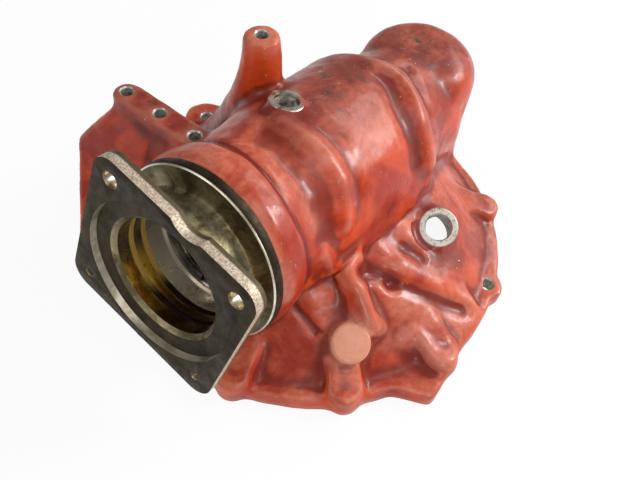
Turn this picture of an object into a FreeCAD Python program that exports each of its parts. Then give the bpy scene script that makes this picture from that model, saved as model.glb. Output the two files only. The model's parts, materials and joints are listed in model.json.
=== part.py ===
"""Final drive housing of a driven front axle, with the gears and bearings that it holds.

Millimetres. The origin is on the cover flange's face, on the wheel axis. +Z points inboard, away
from the cover, and +X follows the tunnel towards its closed, domed end. The pinion shaft crosses
the wheel axis above the flange and slopes down towards the dome, as the kingpin leans.
"""
import FreeCAD, Part
import math
import os

import Sketcher

V = FreeCAD.Vector
doc = FreeCAD.newDocument("final_drive_housing")
sheet = doc.addObject("Spreadsheet::Sheet", "Size")

SIZES = {
    # layout of the two axes
    "lean": 10,                  # slope of the pinion shaft against the flange, degrees
    "crossing_height": 77,       # where the shaft axis crosses the wheel axis
    # trunnion sleeve, along the shaft axis from the crossing
    "plate_reach": 162.5,        # crossing to the front face of the square plate
    "plate_turn": 12.7,          # the square plate is turned about the shaft axis, degrees
    "plate_half": 61.5,
    "plate_corner": 13.5,
    "plate_thick": 9,
    "plate_hole_across": 48,     # half the spacing of the four corner holes, along the notch's side
    "plate_hole_up": 47.5,
    "large_hole_radius": 5.5,
    "small_hole_radius": 3.3,
    "counterbore_radius": 55,
    "counterbore_depth": 5,
    "lip_radius": 43,            # chamfer at the mouth of the bore
    "sleeve_bore_radius": 40,
    "neck_radius": 47.5,
    "neck_end": 34,              # these ends are measured from the plate's front face
    "shoulder_radius": 62,
    "shoulder_end": 42,
    "spigot_radius": 50,
    "spigot_end": 71,
    "ring_groove_radius": 42.5,
    "ring_groove_width": 4,
    "first_groove": 17,
    "second_groove": 27,
    "near_bearing_start": 48,
    "seat_lip": 4,               # the bearing's seat begins this far in front of it
    "sleeve_stop_radius": 32,
    "notch_radius": 15.7,
    "notch_place": -6,
    "notch_depth": 4.5,
    # bell and cover flange
    "rim_radius": 155,
    "flange_thick": 12,
    "chamber_radius": 128,
    "bolt_circle_radius": 148,
    "bolt_count": 12,
    "first_bolt_angle": -73,
    "bolt_hole_radius": 5.1,
    "bolt_hole_depth": 15,
    "bolt_boss_radius": 13,
    "bolt_boss_height": 19,
    "buttress_inner": 112,
    "buttress_height": 40,
    "rear_ear_radius": 20,
    "bell_foot_radius": 143,
    "bell_knee_radius": 118,
    "bell_knee_height": 38,
    "bell_brow_radius": 92,
    "bell_brow_height": 57,
    "roof_height": 67,
    "chamber_knee_radius": 104,
    "chamber_knee_height": 32,
    "gear_room": 5,              # free space kept round the crown gear
    "gear_room_height": 54,
    # tunnel
    "collar_radius": 64,
    "collar_end": 67,
    "waist_radius": 58.5,
    "waist_place": 88,
    "brow_radius": 65,
    "brow_place": 135,
    "crest_radius": 68,
    "crest_end": 218,
    "neck_back_radius": 56.5,
    "neck_back_place": 242,
    "tunnel_end": 290,
    "tunnel_underside": 4,
    # domed end: an upright pot round the far bearing
    "dome_centre": 136,
    "dome_offset": 1,
    "dome_foot_radius": 51,
    "dome_radius": 48,
    "dome_height": 110,
    "dome_rounding": 26,
    "tunnel_radius": 24,
    "pinion_room_radius": 33,
    # steering bracket
    "bracket_height": 118,
    "bracket_place": -65,
    "bracket_half_width": 10,
    "bracket_hole_first": 122,
    "bracket_hole_pitch": 32,
    "tapped_radius": 4.25,
    "tapped_depth": 24,
    # post
    "post_height": 170,
    "post_place": -5,
    "post_offset": 52,
    "post_radius": 12.3,
    # filler plug on the tunnel's crest
    "filler_place": -33.5,
    "filler_offset": 16,
    "filler_height": 65,
    "filler_boss_radius": 12.5,
    "filler_plug_radius": 8.8,
    "filler_plug_length": 12,
    "filler_recess": 2,
    "filler_socket_flats": 10,
    # level hole, open in this housing
    "level_place": 27,
    "level_offset": -94,
    "level_height": 59.4,
    "level_tilt": 31,
    "level_heading": 206,
    "level_hole_radius": 9.5,
    "level_thread": 12,
    "level_boss_radius": 14.5,
    "level_boss_length": 28,
    "level_recess_radius": 20.5,
    "level_recess_depth": 3,
    # cast round pad on the bell
    "pad_radius_out": 126,
    "pad_heading": 229.5,
    "pad_height": 38,
    "pad_tilt": 30,
    "pad_radius": 14,
    # bevel gears
    "pinion_teeth": 12,
    "crown_teeth": 41,
    "crown_pitch_radius": 84,
    "tooth_face": 22,
    "backlash": 0.3,
    "pinion_shift": 0.35,
    # pinion shaft
    "near_journal_radius": 17.5,
    "far_journal_radius": 17.5,
    "shaft_radius": 14,
    "socket_radius": 13,
    "socket_depth": 32,
    "socket_splines": 18,
    "socket_pilot_radius": 13.6,
    "pilot_depth": 6,            # plain mouth before the splines begin
    "near_bearing_width": 17,
    "near_bearing_radius": 36,
    "far_bearing_start": 130,
    "far_bearing_width": 17,
    "far_bearing_radius": 36,
    "shim_thick": 1,
    "spacer_length": 35,
    "spacer_wall": 6,
    # hub of the crown gear
    "hub_bearing_radius": 34,
    "hub_bearing_width": 15,
    "hub_bearing_floor": 21.7,
    "hub_journal_radius": 20,
    "hub_base": 2,
    "hub_flange_radius": 78,
    "hub_flange_base": 8,
    "hub_flange_top": 17,
    "hub_collar_radius": 27,
    "hub_spline_radius": 15,
    "hub_pilot_radius": 17.2,
    "hub_splines": 20,
    "crown_bore_radius": 52,
    "gear_bolt_circle_radius": 69,
    "gear_bolt_count": 8,
    "gear_bolt_radius": 4,
    "gear_bolt_reach": 30,
    # fits
    "running_gap": 0.1,
    "clip_thick": 1.6,
    "clip_depth": 1.4,
}

for row, (alias, number) in enumerate(SIZES.items(), start=1):
    sheet.set(f"A{row}", alias)
    sheet.set(f"B{row}", str(number))
    sheet.setAlias(f"B{row}", alias)
doc.recompute()


class Term:
    """A length or angle: its present value, and the sheet expression that drives it."""

    def __init__(self, value, text):
        self.value, self.text = value, text

    def joined(self, other, sign, value):
        return Term(value, f"({self.text} {sign} {other.text})")

    def __add__(self, other):
        other = term(other)
        return self.joined(other, "+", self.value + other.value)

    def __sub__(self, other):
        other = term(other)
        return self.joined(other, "-", self.value - other.value)

    def __mul__(self, other):
        other = term(other)
        return self.joined(other, "*", self.value * other.value)

    def __truediv__(self, other):
        other = term(other)
        return self.joined(other, "/", self.value / other.value)

    def __neg__(self):
        return Term(-self.value, f"(-{self.text})")

    __radd__ = __add__

    def __rmul__(self, other):
        return self * other

    def __rsub__(self, other):
        return term(other) - self


def term(thing):
    return thing if isinstance(thing, Term) else Term(float(thing), repr(thing))


def sine(angle):
    angle = term(angle)
    return Term(math.sin(math.radians(angle.value)), f"sin({angle.text} * 1 deg)")


def cosine(angle):
    angle = term(angle)
    return Term(math.cos(math.radians(angle.value)), f"cos({angle.text} * 1 deg)")


class Sizes:
    """Reads an alias of the sheet as a term, so that size.lean is Size.lean in an expression."""

    def __getattr__(self, alias):
        return Term(float(sheet.get(alias)), f"Size.{alias}")


size = Sizes()


def bind(thing, **values):
    for name, value in values.items():
        thing.setExpression(name, term(value).text)
    return thing


def placed(thing, x=0, y=0, z=0, turns=()):
    """Binds the placement; turns are (axis, angle), the outermost first."""
    spins = " * ".join(f"rotation(vector({axis[0]}; {axis[1]}; {axis[2]}); {term(angle).text})"
                       for axis, angle in turns) or "rotation(vector(0; 0; 1); 0)"
    thing.setExpression(
        "Placement",
        f"placement(vector({term(x).text}; {term(y).text}; {term(z).text}); {spins})")
    return thing


AXIS_Y, AXIS_Z = (0, 1, 0), (0, 0, 1)


def on_shaft(thing, along=0, side=0, rise=0, turn=0):
    """Lays a piece along the shaft: its own Z runs to the dome, from a place along the axis."""
    along, rise = term(along), term(rise)
    return placed(thing,
                  along * cosine(size.lean) + rise * sine(size.lean),
                  side,
                  size.crossing_height - along * sine(size.lean) + rise * cosine(size.lean),
                  [(AXIS_Y, size.lean + 90), (AXIS_Z, turn)])


def draw(sketch, corners):
    """Draws a closed outline. A corner is (x, y), or (x, y, radius) where it is rounded."""
    corners = [tuple(term(c) for c in corner) for corner in corners]
    count = len(corners)
    spots = [V(c[0].value, c[1].value, 0) for c in corners]
    leave, arrive, arcs = list(spots), list(spots), {}
    for i, corner in enumerate(corners):
        if len(corner) < 3:
            continue
        back = (spots[i - 1] - spots[i]).normalize()
        ahead = (spots[(i + 1) % count] - spots[i]).normalize()
        half = back.getAngle(ahead) / 2
        reach, radius = corner[2].value / math.tan(half), corner[2].value
        arrive[i], leave[i] = spots[i] + back * reach, spots[i] + ahead * reach
        centre = spots[i] + (back + ahead).normalize() * (radius / math.sin(half))
        left_turn = (spots[i] - spots[i - 1]).cross(ahead).z > 0
        first, last = (arrive[i], leave[i]) if left_turn else (leave[i], arrive[i])
        start = math.atan2(first.y - centre.y, first.x - centre.x)
        stop = math.atan2(last.y - centre.y, last.x - centre.x)
        if stop < start:
            stop += 2 * math.pi
        arcs[i] = (Part.ArcOfCircle(Part.Circle(centre, V(0, 0, 1), radius), start, stop), left_turn)
    lines = [sketch.addGeometry(Part.LineSegment(leave[i], arrive[(i + 1) % count]), False)
             for i in range(count)]
    for i, corner in enumerate(corners):
        into, out = lines[i - 1], lines[i]
        if i in arcs:
            arc = sketch.addGeometry(arcs[i][0], False)
            near, far = (1, 2) if arcs[i][1] else (2, 1)
            sketch.addConstraint(Sketcher.Constraint("Tangent", into, 2, arc, near))
            sketch.addConstraint(Sketcher.Constraint("Tangent", arc, far, out, 1))
            radius = sketch.addConstraint(Sketcher.Constraint("Radius", arc, corner[2].value))
            sketch.setExpression(f"Constraints[{radius}]", corner[2].text)
            spot = sketch.addGeometry(Part.Point(spots[i]), True)
            sketch.addConstraint(Sketcher.Constraint("PointOnObject", spot, 1, into))
            sketch.addConstraint(Sketcher.Constraint("PointOnObject", spot, 1, out))
        else:
            sketch.addConstraint(Sketcher.Constraint("Coincident", into, 2, out, 1))
            spot = out
        for kind, axis, place in (("DistanceX", -2, corner[0]), ("DistanceY", -1, corner[1])):
            if place.value == 0:
                sketch.addConstraint(Sketcher.Constraint("PointOnObject", spot, 1, axis))
            else:
                held = sketch.addConstraint(
                    Sketcher.Constraint(kind, -1, 1, spot, 1, place.value))
                sketch.setExpression(f"Constraints[{held}]", place.text)
    return sketch


def plane_of(body, role):
    return [plane for plane in body.Origin.OriginFeatures if plane.Role == role][0]


def body_sketch(body, name, role, corners=()):
    sketch = body.newObject("Sketcher::SketchObject", name)
    sketch.AttachmentSupport = [(plane_of(body, role), "")]
    sketch.MapMode = "FlatFace"
    return draw(sketch, corners) if corners else sketch


def turned_body(label, corners):
    """A lathe piece: the outline (radius, height) turned about the body's own Z."""
    body = doc.addObject("PartDesign::Body", label)
    sketch = body_sketch(body, f"{label}_outline", "XZ_Plane", corners)
    turn = body.newObject("PartDesign::Revolution", f"{label}_turning")
    turn.Profile = sketch
    turn.ReferenceAxis = (sketch, ["V_Axis"])
    turn.Angle = 360
    return body


def turned(name, corners):
    """The same as a plain solid, for use in a boolean."""
    sketch = draw(doc.addObject("Sketcher::SketchObject", f"{name}_outline"), corners)
    sketch.Placement = FreeCAD.Placement(V(0, 0, 0), FreeCAD.Rotation(V(1, 0, 0), 90))
    solid = doc.addObject("Part::Revolution", name)
    solid.Source, solid.Axis, solid.Angle, solid.Solid = sketch, V(0, 0, 1), 360, True
    return solid


def extruded(name, corners, height):
    sketch = draw(doc.addObject("Sketcher::SketchObject", f"{name}_outline"), corners)
    solid = doc.addObject("Part::Extrusion", name)
    solid.Base, solid.Dir, solid.DirMode, solid.Solid = sketch, V(0, 0, 1), "Custom", True
    return bind(solid, LengthFwd=height)


def cylinder(name, radius, height):
    return bind(doc.addObject("Part::Cylinder", name), Radius=radius, Height=height)


def box(name, length, width, height):
    return bind(doc.addObject("Part::Box", name), Length=length, Width=width, Height=height)


def fused(name, pieces):
    whole = doc.addObject("Part::MultiFuse", name)
    whole.Shapes = pieces
    return whole


def cut(name, base, tools):
    tool = tools[0] if len(tools) == 1 else fused(f"{name}_tools", tools)
    whole = doc.addObject("Part::Cut", name)
    whole.Base, whole.Tool = base, tool
    return whole


def lofted(name, rings, ruled=False):
    """A skin through rings, each a Part circle or a sketch."""
    skin = doc.addObject("Part::Loft", name)
    skin.Sections, skin.Solid, skin.Ruled = rings, True, ruled
    return skin


def ring(name, radius):
    return bind(doc.addObject("Part::Circle", name), Radius=radius)


def along_from_plate(distance):
    """A distance behind the square plate's front face, as a place along the shaft axis."""
    return term(distance) - size.plate_reach


def round_the_axis(radius, angle):
    """X and Y of a place at a radius and angle round the wheel axis."""
    return term(radius) * cosine(angle), term(radius) * sine(angle)


nodes = {}


def node(name, thing):
    thing.Label = name
    nodes[name] = thing
    return thing


# Bevel gear geometry. Both pitch cones have their points where the two axes cross.
def bevel_cones():
    ratio = size.crown_teeth.value / size.pinion_teeth.value
    shaft_angle = math.radians(90 - size.lean.value)
    pinion = math.atan2(math.sin(shaft_angle), ratio + math.cos(shaft_angle))
    crown = shaft_angle - pinion
    reach = size.crown_pitch_radius.value / math.sin(crown)
    return {"pinion": pinion, "crown": crown, "reach": reach}


PRESSURE_ANGLE = math.radians(20)
ADDENDUM, DEDENDUM = 1.0, 1.25


def involute(angle):
    return math.tan(angle) - angle


def gap_outline(teeth, pitch_radius, cone_angle, shift, backlash):
    """Half outline of a tooth gap on the back cone: (radius, half angle) from the root up.

    The back cone unrolls into a spur gear of radius pitch_radius / cos(cone_angle).
    """
    module = 2 * pitch_radius / teeth
    unrolled = pitch_radius / math.cos(cone_angle)
    base = unrolled * math.cos(PRESSURE_ANGLE)
    root = unrolled - module * (DEDENDUM - shift)
    tip = unrolled + module * (ADDENDUM + shift)
    width = module * (math.pi / 2 - 2 * shift * math.tan(PRESSURE_ANGLE)) + backlash / 2
    at_pitch = width / (2 * unrolled)

    def half_angle(radius):
        pressure = math.acos(min(1.0, base / max(radius, base)))
        return at_pitch - involute(PRESSURE_ANGLE) + involute(pressure)

    flank_start = max(base, root)
    steps = 4
    radii = [flank_start + (tip + 0.1 * module - flank_start) * k / steps for k in range(steps + 1)]
    outline = [(r, half_angle(r)) for r in radii]
    # the gap's flat top has to clear the round tips between its two corners
    outline.append((tip + 0.7 * module, outline[-1][1]))
    if root < base:
        outline.insert(0, (root, outline[0][1]))
    return outline


def bevel_gap(teeth, pitch_radius, cone_angle, shift, backlash, reach, face):
    """One tooth gap: a frustum that narrows to where the axes cross, its gear below it."""
    back_point = reach / math.cos(cone_angle)

    def on_back_cone(radius, angle):
        real = angle / math.cos(cone_angle)
        out = radius * math.cos(cone_angle)
        return V(out * math.cos(real), out * math.sin(real),
                 -(back_point - radius * math.sin(cone_angle)))

    right = gap_outline(teeth, pitch_radius, cone_angle, shift, backlash)
    points = [on_back_cone(r, a) for r, a in right]
    points += [on_back_cone(r, -a) for r, a in reversed(right)]
    depths = [-p.z for p in points]
    far = max(depths) * (reach + 1) / reach
    near = min(depths) * (reach - face - 1) / reach
    outer = [p * (far / -p.z) for p in points]
    inner = [p * (near / -p.z) for p in points]
    outlines = [outer, inner]
    for index in range(len(points)):
        after = (index + 1) % len(points)
        outlines.append([outer[index], outer[after], inner[after], inner[index]])
    faces = [Part.Face(Part.makePolygon(corners + corners[:1])) for corners in outlines]
    gap = Part.Solid(Part.makeShell(faces))
    if gap.Volume < 0:
        gap.reverse()
    return gap


def bevel_gaps(teeth, pitch_radius, cone_angle, shift, first):
    """All the tooth gaps of one gear, ready to cut from its blank."""
    reach, face = CONES["reach"], size.tooth_face.value
    gap = bevel_gap(teeth, pitch_radius, cone_angle, shift, size.backlash.value, reach, face)
    pitch = 360 / teeth
    gaps = []
    for k in range(teeth):
        turned_gap = gap.copy()
        turned_gap.rotate(V(0, 0, 0), V(0, 0, 1), (k + first) * pitch)
        gaps.append(turned_gap)
    return Part.makeCompound(gaps)


def bevel_tips(teeth, pitch_radius, cone_angle, shift, depth):
    """Tip and foot of the toothed band, at its outer and inner end, as (radius, height)."""
    reach, face = CONES["reach"], size.tooth_face.value
    module = 2 * pitch_radius / teeth
    across = V(math.cos(cone_angle), 0, math.sin(cone_angle))
    outer_pitch = V(pitch_radius, 0, -reach * math.cos(cone_angle))
    outer_tip = outer_pitch + across * (module * (ADDENDUM + shift))
    outer_foot = outer_pitch - across * (module * (DEDENDUM - shift) + depth)
    shrink = (reach - face) / reach
    return outer_tip, outer_tip * shrink, outer_foot * shrink, outer_foot


def gear_solid(points, gaps):
    """Turns the outline of points about Z and cuts the gaps."""
    face = Part.Face(Part.makePolygon(points + points[:1]))
    return face.revolve(V(0, 0, 0), V(0, 0, 1), 360).cut(gaps)


CONES = bevel_cones()


def drive_case():
    """The red casting: bell, tunnel, dome, bracket and post, then everything bored into it."""
    bell = turned("bell", [
        (0, 0), (size.rim_radius, 0), (size.rim_radius, size.flange_thick),
        (size.bell_foot_radius, size.flange_thick + 1),
        (size.bell_knee_radius, size.bell_knee_height, 25),
        (size.bell_brow_radius, size.bell_brow_height, 20),
        (60, size.roof_height - 1.5, 30), (0, size.roof_height)])
    from_plate = along_from_plate
    tunnel = turned("tunnel_shell", [
        (0, from_plate(size.shoulder_end)),
        (size.collar_radius, from_plate(size.shoulder_end)),
        (size.collar_radius - 1.5, from_plate(size.collar_end), 3),
        (size.waist_radius, from_plate(size.collar_end), 2),
        (size.waist_radius, from_plate(size.waist_place), 50),
        (size.brow_radius, from_plate(size.brow_place), 40),
        (size.crest_radius, from_plate(size.crest_end), 16),
        (size.neck_back_radius, from_plate(size.neck_back_place), 18),
        (size.neck_back_radius - 2, from_plate(size.tunnel_end)),
        (0, from_plate(size.tunnel_end))])
    on_shaft(tunnel)
    below = placed(box("below_tunnel", 600, 600, 200), -100, -300,
                   size.tunnel_underside - 200)
    dome = placed(turned("dome", [
        (0, 0), (size.dome_foot_radius, 0), (size.dome_radius + 0.5, 40, 60),
        (size.dome_radius, size.dome_height - 1, size.dome_rounding),
        (0, size.dome_height)]), size.dome_centre, size.dome_offset)
    pieces = [bell, cut("tunnel_above_floor", tunnel, [below]), dome]
    pieces += flange_bosses() + bracket() + [post()] + bosses_and_ribs()
    recess = leaning(cylinder("level_recess", size.level_recess_radius, 40),
                     size.level_recess_depth)
    boss = leaning(cylinder("level_boss", size.level_boss_radius, size.level_boss_length),
                   size.level_boss_length)
    solid = fused("case_forms", [cut("case_recessed", fused("case_rough", pieces), [recess]),
                                 boss])
    return cut("case_bored", solid, cavities())


def bolt_angle(index):
    return size.first_bolt_angle + index * (term(360) / size.bolt_count)


def flange_bosses():
    """Ears and blind bosses for the cover's bolts, and the corner lug beside them."""
    found = []
    for index in range(int(size.bolt_count.value)):
        x, y = round_the_axis(size.bolt_circle_radius, bolt_angle(index))
        if index == EAR:
            boss = cylinder(f"ear_{index}", size.bolt_boss_radius, size.flange_thick)
        elif index == REAR_EAR:
            boss = cylinder(f"ear_{index}", size.rear_ear_radius, size.flange_thick)
        else:
            boss = cylinder(f"bolt_boss_{index}", size.bolt_boss_radius,
                            size.bolt_boss_height)
            found.append(rib(f"buttress_{index}", bolt_angle(index), size.buttress_inner,
                             size.buttress_height, size.bolt_circle_radius,
                             size.bolt_boss_height + 1, size.bolt_boss_radius * 1.8))
        found.append(placed(boss, x, y))
    found.append(extruded("corner_lug", [
        (-84, -120), (-66, -160, 4), (22, -151, 6), (34, -126)], size.flange_thick))
    return found


EAR, REAR_EAR = 0, 5


def rib(name, heading, inner, inner_height, outer, outer_height, width):
    """An upright web that runs out from the wheel axis and slopes down."""
    sketch = draw(doc.addObject("Sketcher::SketchObject", f"{name}_outline"), [
        (inner, 5), (outer, 5), (outer, outer_height), (inner, inner_height)])
    sketch.Placement = FreeCAD.Placement(V(0, 0, 0), FreeCAD.Rotation(V(1, 0, 0), 90))
    web = doc.addObject("Part::Extrusion", name)
    web.Base, web.Dir, web.DirMode, web.Solid = sketch, V(0, 1, 0), "Custom", True
    web.Symmetric = True
    bind(web, LengthFwd=width)
    return placed(web, turns=[(AXIS_Z, heading)])


def bosses_and_ribs():
    filler = on_shaft(cylinder("filler_boss", size.filler_boss_radius, size.filler_height),
                      size.filler_place, size.filler_offset)
    # a cylinder that stands on the shaft axis instead of lying along it
    placed(filler, size.filler_place * cosine(size.lean), size.filler_offset,
           size.crossing_height - size.filler_place * sine(size.lean),
           [(AXIS_Y, size.lean)])
    x, y = round_the_axis(size.pad_radius_out, size.pad_heading)
    pad = placed(cylinder("round_pad", size.pad_radius, 16), x, y, size.pad_height,
                 [(AXIS_Z, size.pad_heading), (AXIS_Y, size.pad_tilt), (AXIS_Y, 180)])
    ribs = [rib("corner_block", -94, 104, 40, 151, 14, 56),
            rib("shoulder_rib", -126, 76, 74, 118, 42, 14)]
    return [filler, pad] + ribs


def leaning(piece, length):
    """Lays a round piece along the level hole, its mouth end at the named place."""
    tilt, heading = size.level_tilt, size.level_heading
    length = term(length)
    return placed(piece,
                  size.level_place - length * sine(tilt) * cosine(heading),
                  size.level_offset - length * sine(tilt) * sine(heading),
                  size.level_height - length * cosine(tilt),
                  [(AXIS_Z, heading), (AXIS_Y, tilt)])


def bracket():
    """Steering bracket: a bar with a row of tapped holes on a pillar that grows from the rim."""
    place, half = size.bracket_place, size.bracket_half_width
    top = size.bracket_height
    bar_foot = top - 20
    bar = placed(extruded("bracket_bar", [
        (place - half, 40), (place + half, 40),
        (place + half, size.bracket_hole_first + half, half - 1),
        (place - half, size.bracket_hole_first + half, half - 1)], 20), z=bar_foot)
    levels = [
        (0, [(-112, 40), (-40, 60), (-52, 154), (-134, 124)]),
        (66, [(-94, 40), (-44, 50), (-54, 158), (-90, 159)]),
        (top - 3, [(place - half + 3, 40), (place + half - 2, 40),
                   (place + half - 2, size.bracket_hole_first),
                   (place - half + 3, size.bracket_hole_first)])]
    sections = []
    for index, (height, corners) in enumerate(levels):
        sketch = doc.addObject("Sketcher::SketchObject", f"bracket_section_{index}")
        sections.append(placed(draw(sketch, corners), z=height))
    return [bar, lofted("bracket_pillar", sections, ruled=True)]


def post():
    """The steering post: a flared pillar that leans back on the rear rim."""
    place, offset = size.post_place, size.post_offset
    rings = [(18, 32, 34, 52), (62, 18, 27, 28), (100, 6, 20.5, 12),
             (140, 0, 15, 0.5)]
    skins = []
    for index, (height, back, radius, out) in enumerate(rings):
        skins.append(placed(ring(f"post_ring_{index}", radius),
                            place + back, offset + out, height))
    skins.append(placed(ring("post_ring_top", size.post_radius),
                        place, offset, size.post_height))
    return lofted("post", skins)


def cavities():
    """Chamber, bearing seats, shaft room and every drilled hole."""
    boss_radius = size.hub_bearing_radius + 10
    room = size.crown_pitch_radius + size.gear_room
    chamber = turned("chamber", [
        (0, -5), (size.chamber_radius, -5), (size.chamber_radius, size.flange_thick, 8),
        (size.chamber_knee_radius, size.chamber_knee_height, 12),
        (room, size.gear_room_height - 3, 5),
        (size.crown_bore_radius, size.gear_room_height, 3),
        (boss_radius, size.gear_room_height, 3),
        (boss_radius, size.hub_flange_top + 1.5),
        (0, size.hub_flange_top + 1.5)])
    bearing_top = size.hub_bearing_floor + size.hub_bearing_width
    seat = turned("hub_bearing_seat", [
        (0, size.hub_flange_top), (size.hub_bearing_radius, size.hub_flange_top),
        (size.hub_bearing_radius, bearing_top),
        (size.hub_bearing_radius - 4, bearing_top),
        (size.hub_bearing_radius - 4, bearing_top + 1.8),
        (size.hub_journal_radius + 4, bearing_top + 1.8),
        (size.hub_journal_radius + 4, bearing_top + 6.3),
        (0, bearing_top + 6.3)])
    groove = clip_ring("hub_seat_groove", size.hub_bearing_radius - 1,
                       size.hub_bearing_radius + size.clip_depth,
                       size.hub_bearing_floor - size.clip_thick)
    far_start, far_end = size.far_bearing_start, size.far_bearing_start + size.far_bearing_width
    shaft_room = on_shaft(turned("shaft_room", [
        (0, along_from_plate(size.shoulder_end - 6)),
        (size.spigot_radius, along_from_plate(size.shoulder_end - 6)),
        (size.spigot_radius, along_from_plate(size.spigot_end)),
        (size.sleeve_stop_radius, along_from_plate(size.spigot_end)),
        (size.sleeve_stop_radius, -66, 10),
        (size.tunnel_radius, -52, 10), (size.tunnel_radius, 48),
        (size.pinion_room_radius, 58, 6), (size.pinion_room_radius, far_start - 4),
        (size.far_bearing_radius, far_start - 4), (size.far_bearing_radius, far_end),
        (size.far_bearing_radius - 4, far_end), (size.far_bearing_radius - 4, far_end + 16, 8),
        (20, far_end + 32, 8), (0, far_end + 34)]))
    holes = [chamber, seat, groove, shaft_room]
    for index in range(int(size.bolt_count.value)):
        x, y = round_the_axis(size.bolt_circle_radius, bolt_angle(index))
        depth = size.bolt_hole_depth + 10 if index in (EAR, REAR_EAR) else size.bolt_hole_depth
        holes.append(placed(cylinder(f"cover_bolt_hole_{index}", size.bolt_hole_radius,
                                     depth + 1), x, y, -1))
    for index in range(3):
        holes.append(placed(
            cylinder(f"bracket_hole_{index}", size.tapped_radius, size.tapped_depth + 1),
            size.bracket_place, size.bracket_hole_first - index * size.bracket_hole_pitch,
            size.bracket_height - size.tapped_depth))
    holes.append(placed(cylinder("post_hole", size.tapped_radius, size.tapped_depth + 1),
                        size.post_place, size.post_offset,
                        size.post_height - size.tapped_depth))
    holes.append(placed(cylinder("filler_hole", size.filler_plug_radius, 80),
                        size.filler_place * cosine(size.lean), size.filler_offset,
                        size.crossing_height - size.filler_place * sine(size.lean),
                        [(AXIS_Y, size.lean)]))
    holes.append(leaning(cylinder("level_hole", size.level_hole_radius,
                                  size.level_boss_length + 21),
                         size.level_boss_length + 20))
    # the thread ends square inside the casting, where the hole opens to the chamber
    holes.append(leaning(cylinder("level_relief", size.level_hole_radius + 2.5, 40),
                         size.level_thread + 40))
    holes.append(placed(box("below_flange", 600, 600, 60), -300, -300, -60))
    return holes


def clip_ring(name, inner, outer, base):
    """A flat ring of the circlips' thickness."""
    return turned(name, [(inner, base), (outer, base),
                         (outer, term(base) + size.clip_thick),
                         (inner, term(base) + size.clip_thick)])


def trunnion_sleeve():
    """Steel sleeve: square plate, turned neck and shoulder, spigot pressed in the collar."""
    front = along_from_plate(0)
    half = size.plate_half
    plate = on_shaft(extruded("square_plate", [
        (-half, -half, size.plate_corner), (half, -half, size.plate_corner),
        (half, half, size.plate_corner), (-half, half, size.plate_corner)],
        size.plate_thick), front, turn=size.plate_turn + 90)
    body = on_shaft(turned("sleeve_turning", [
        (size.sleeve_stop_radius - 1, front + 1), (size.neck_radius, front + 1),
        (size.neck_radius, along_from_plate(size.neck_end)),
        (size.shoulder_radius, along_from_plate(size.neck_end + 3), 1),
        (size.shoulder_radius, along_from_plate(size.shoulder_end)),
        (size.spigot_radius, along_from_plate(size.shoulder_end)),
        (size.spigot_radius, along_from_plate(size.spigot_end)),
        (size.sleeve_stop_radius - 1, along_from_plate(size.spigot_end))]))
    seat_end = size.near_bearing_start + size.near_bearing_width
    width = size.ring_groove_width
    bore = [(0, front - 1), (size.counterbore_radius, front - 1),
            (size.counterbore_radius, front + size.counterbore_depth),
            (size.lip_radius, front + size.counterbore_depth),
            (size.sleeve_bore_radius, front + size.counterbore_depth + 3)]
    for start in (size.first_groove, size.second_groove):
        bore += [(size.sleeve_bore_radius, front + start),
                 (size.ring_groove_radius, front + start),
                 (size.ring_groove_radius, front + start + width),
                 (size.sleeve_bore_radius, front + start + width)]
    seat = front + size.near_bearing_start
    clip_radius = size.near_bearing_radius + size.clip_depth
    bore += [(size.sleeve_bore_radius, seat - size.seat_lip),
             (size.near_bearing_radius, seat - size.seat_lip),
             (size.near_bearing_radius, seat - size.clip_thick),
             (clip_radius, seat - size.clip_thick), (clip_radius, seat),
             (size.near_bearing_radius, seat),
             (size.near_bearing_radius, front + seat_end),
             (size.sleeve_stop_radius, front + seat_end),
             (size.sleeve_stop_radius, front + size.spigot_end + 1),
             (0, front + size.spigot_end + 1)]
    notch = cylinder("plate_notch", size.notch_radius, size.plate_thick + 2)
    notch_reach = half + size.notch_radius - size.notch_depth
    # the plate's own across and up directions lie turned round the shaft axis
    across_turn, up_turn = size.plate_turn + 90, size.plate_turn + 180
    on_shaft(notch, front - 1,
             size.notch_place * sine(across_turn) + notch_reach * sine(up_turn),
             -(size.notch_place * cosine(across_turn) + notch_reach * cosine(up_turn)))
    tools = [on_shaft(turned("sleeve_bore", bore)), notch]
    for index, (across, up) in enumerate(((1, 1), (-1, 1), (-1, -1), (1, -1))):
        radius = size.large_hole_radius if up > 0 else size.small_hole_radius
        # the corners of the square, turned with the plate round the shaft axis
        hole = cylinder(f"plate_hole_{index}", radius, size.plate_thick + 2)
        side = across * size.plate_hole_across
        rise = up * size.plate_hole_up
        tools.append(on_shaft(hole, front - 1,
                              side * sine(across_turn) + rise * sine(up_turn),
                              -(side * cosine(across_turn) + rise * cosine(up_turn))))
    return cut("sleeve_bored", fused("sleeve_forms", [plate, body]), tools)


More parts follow.
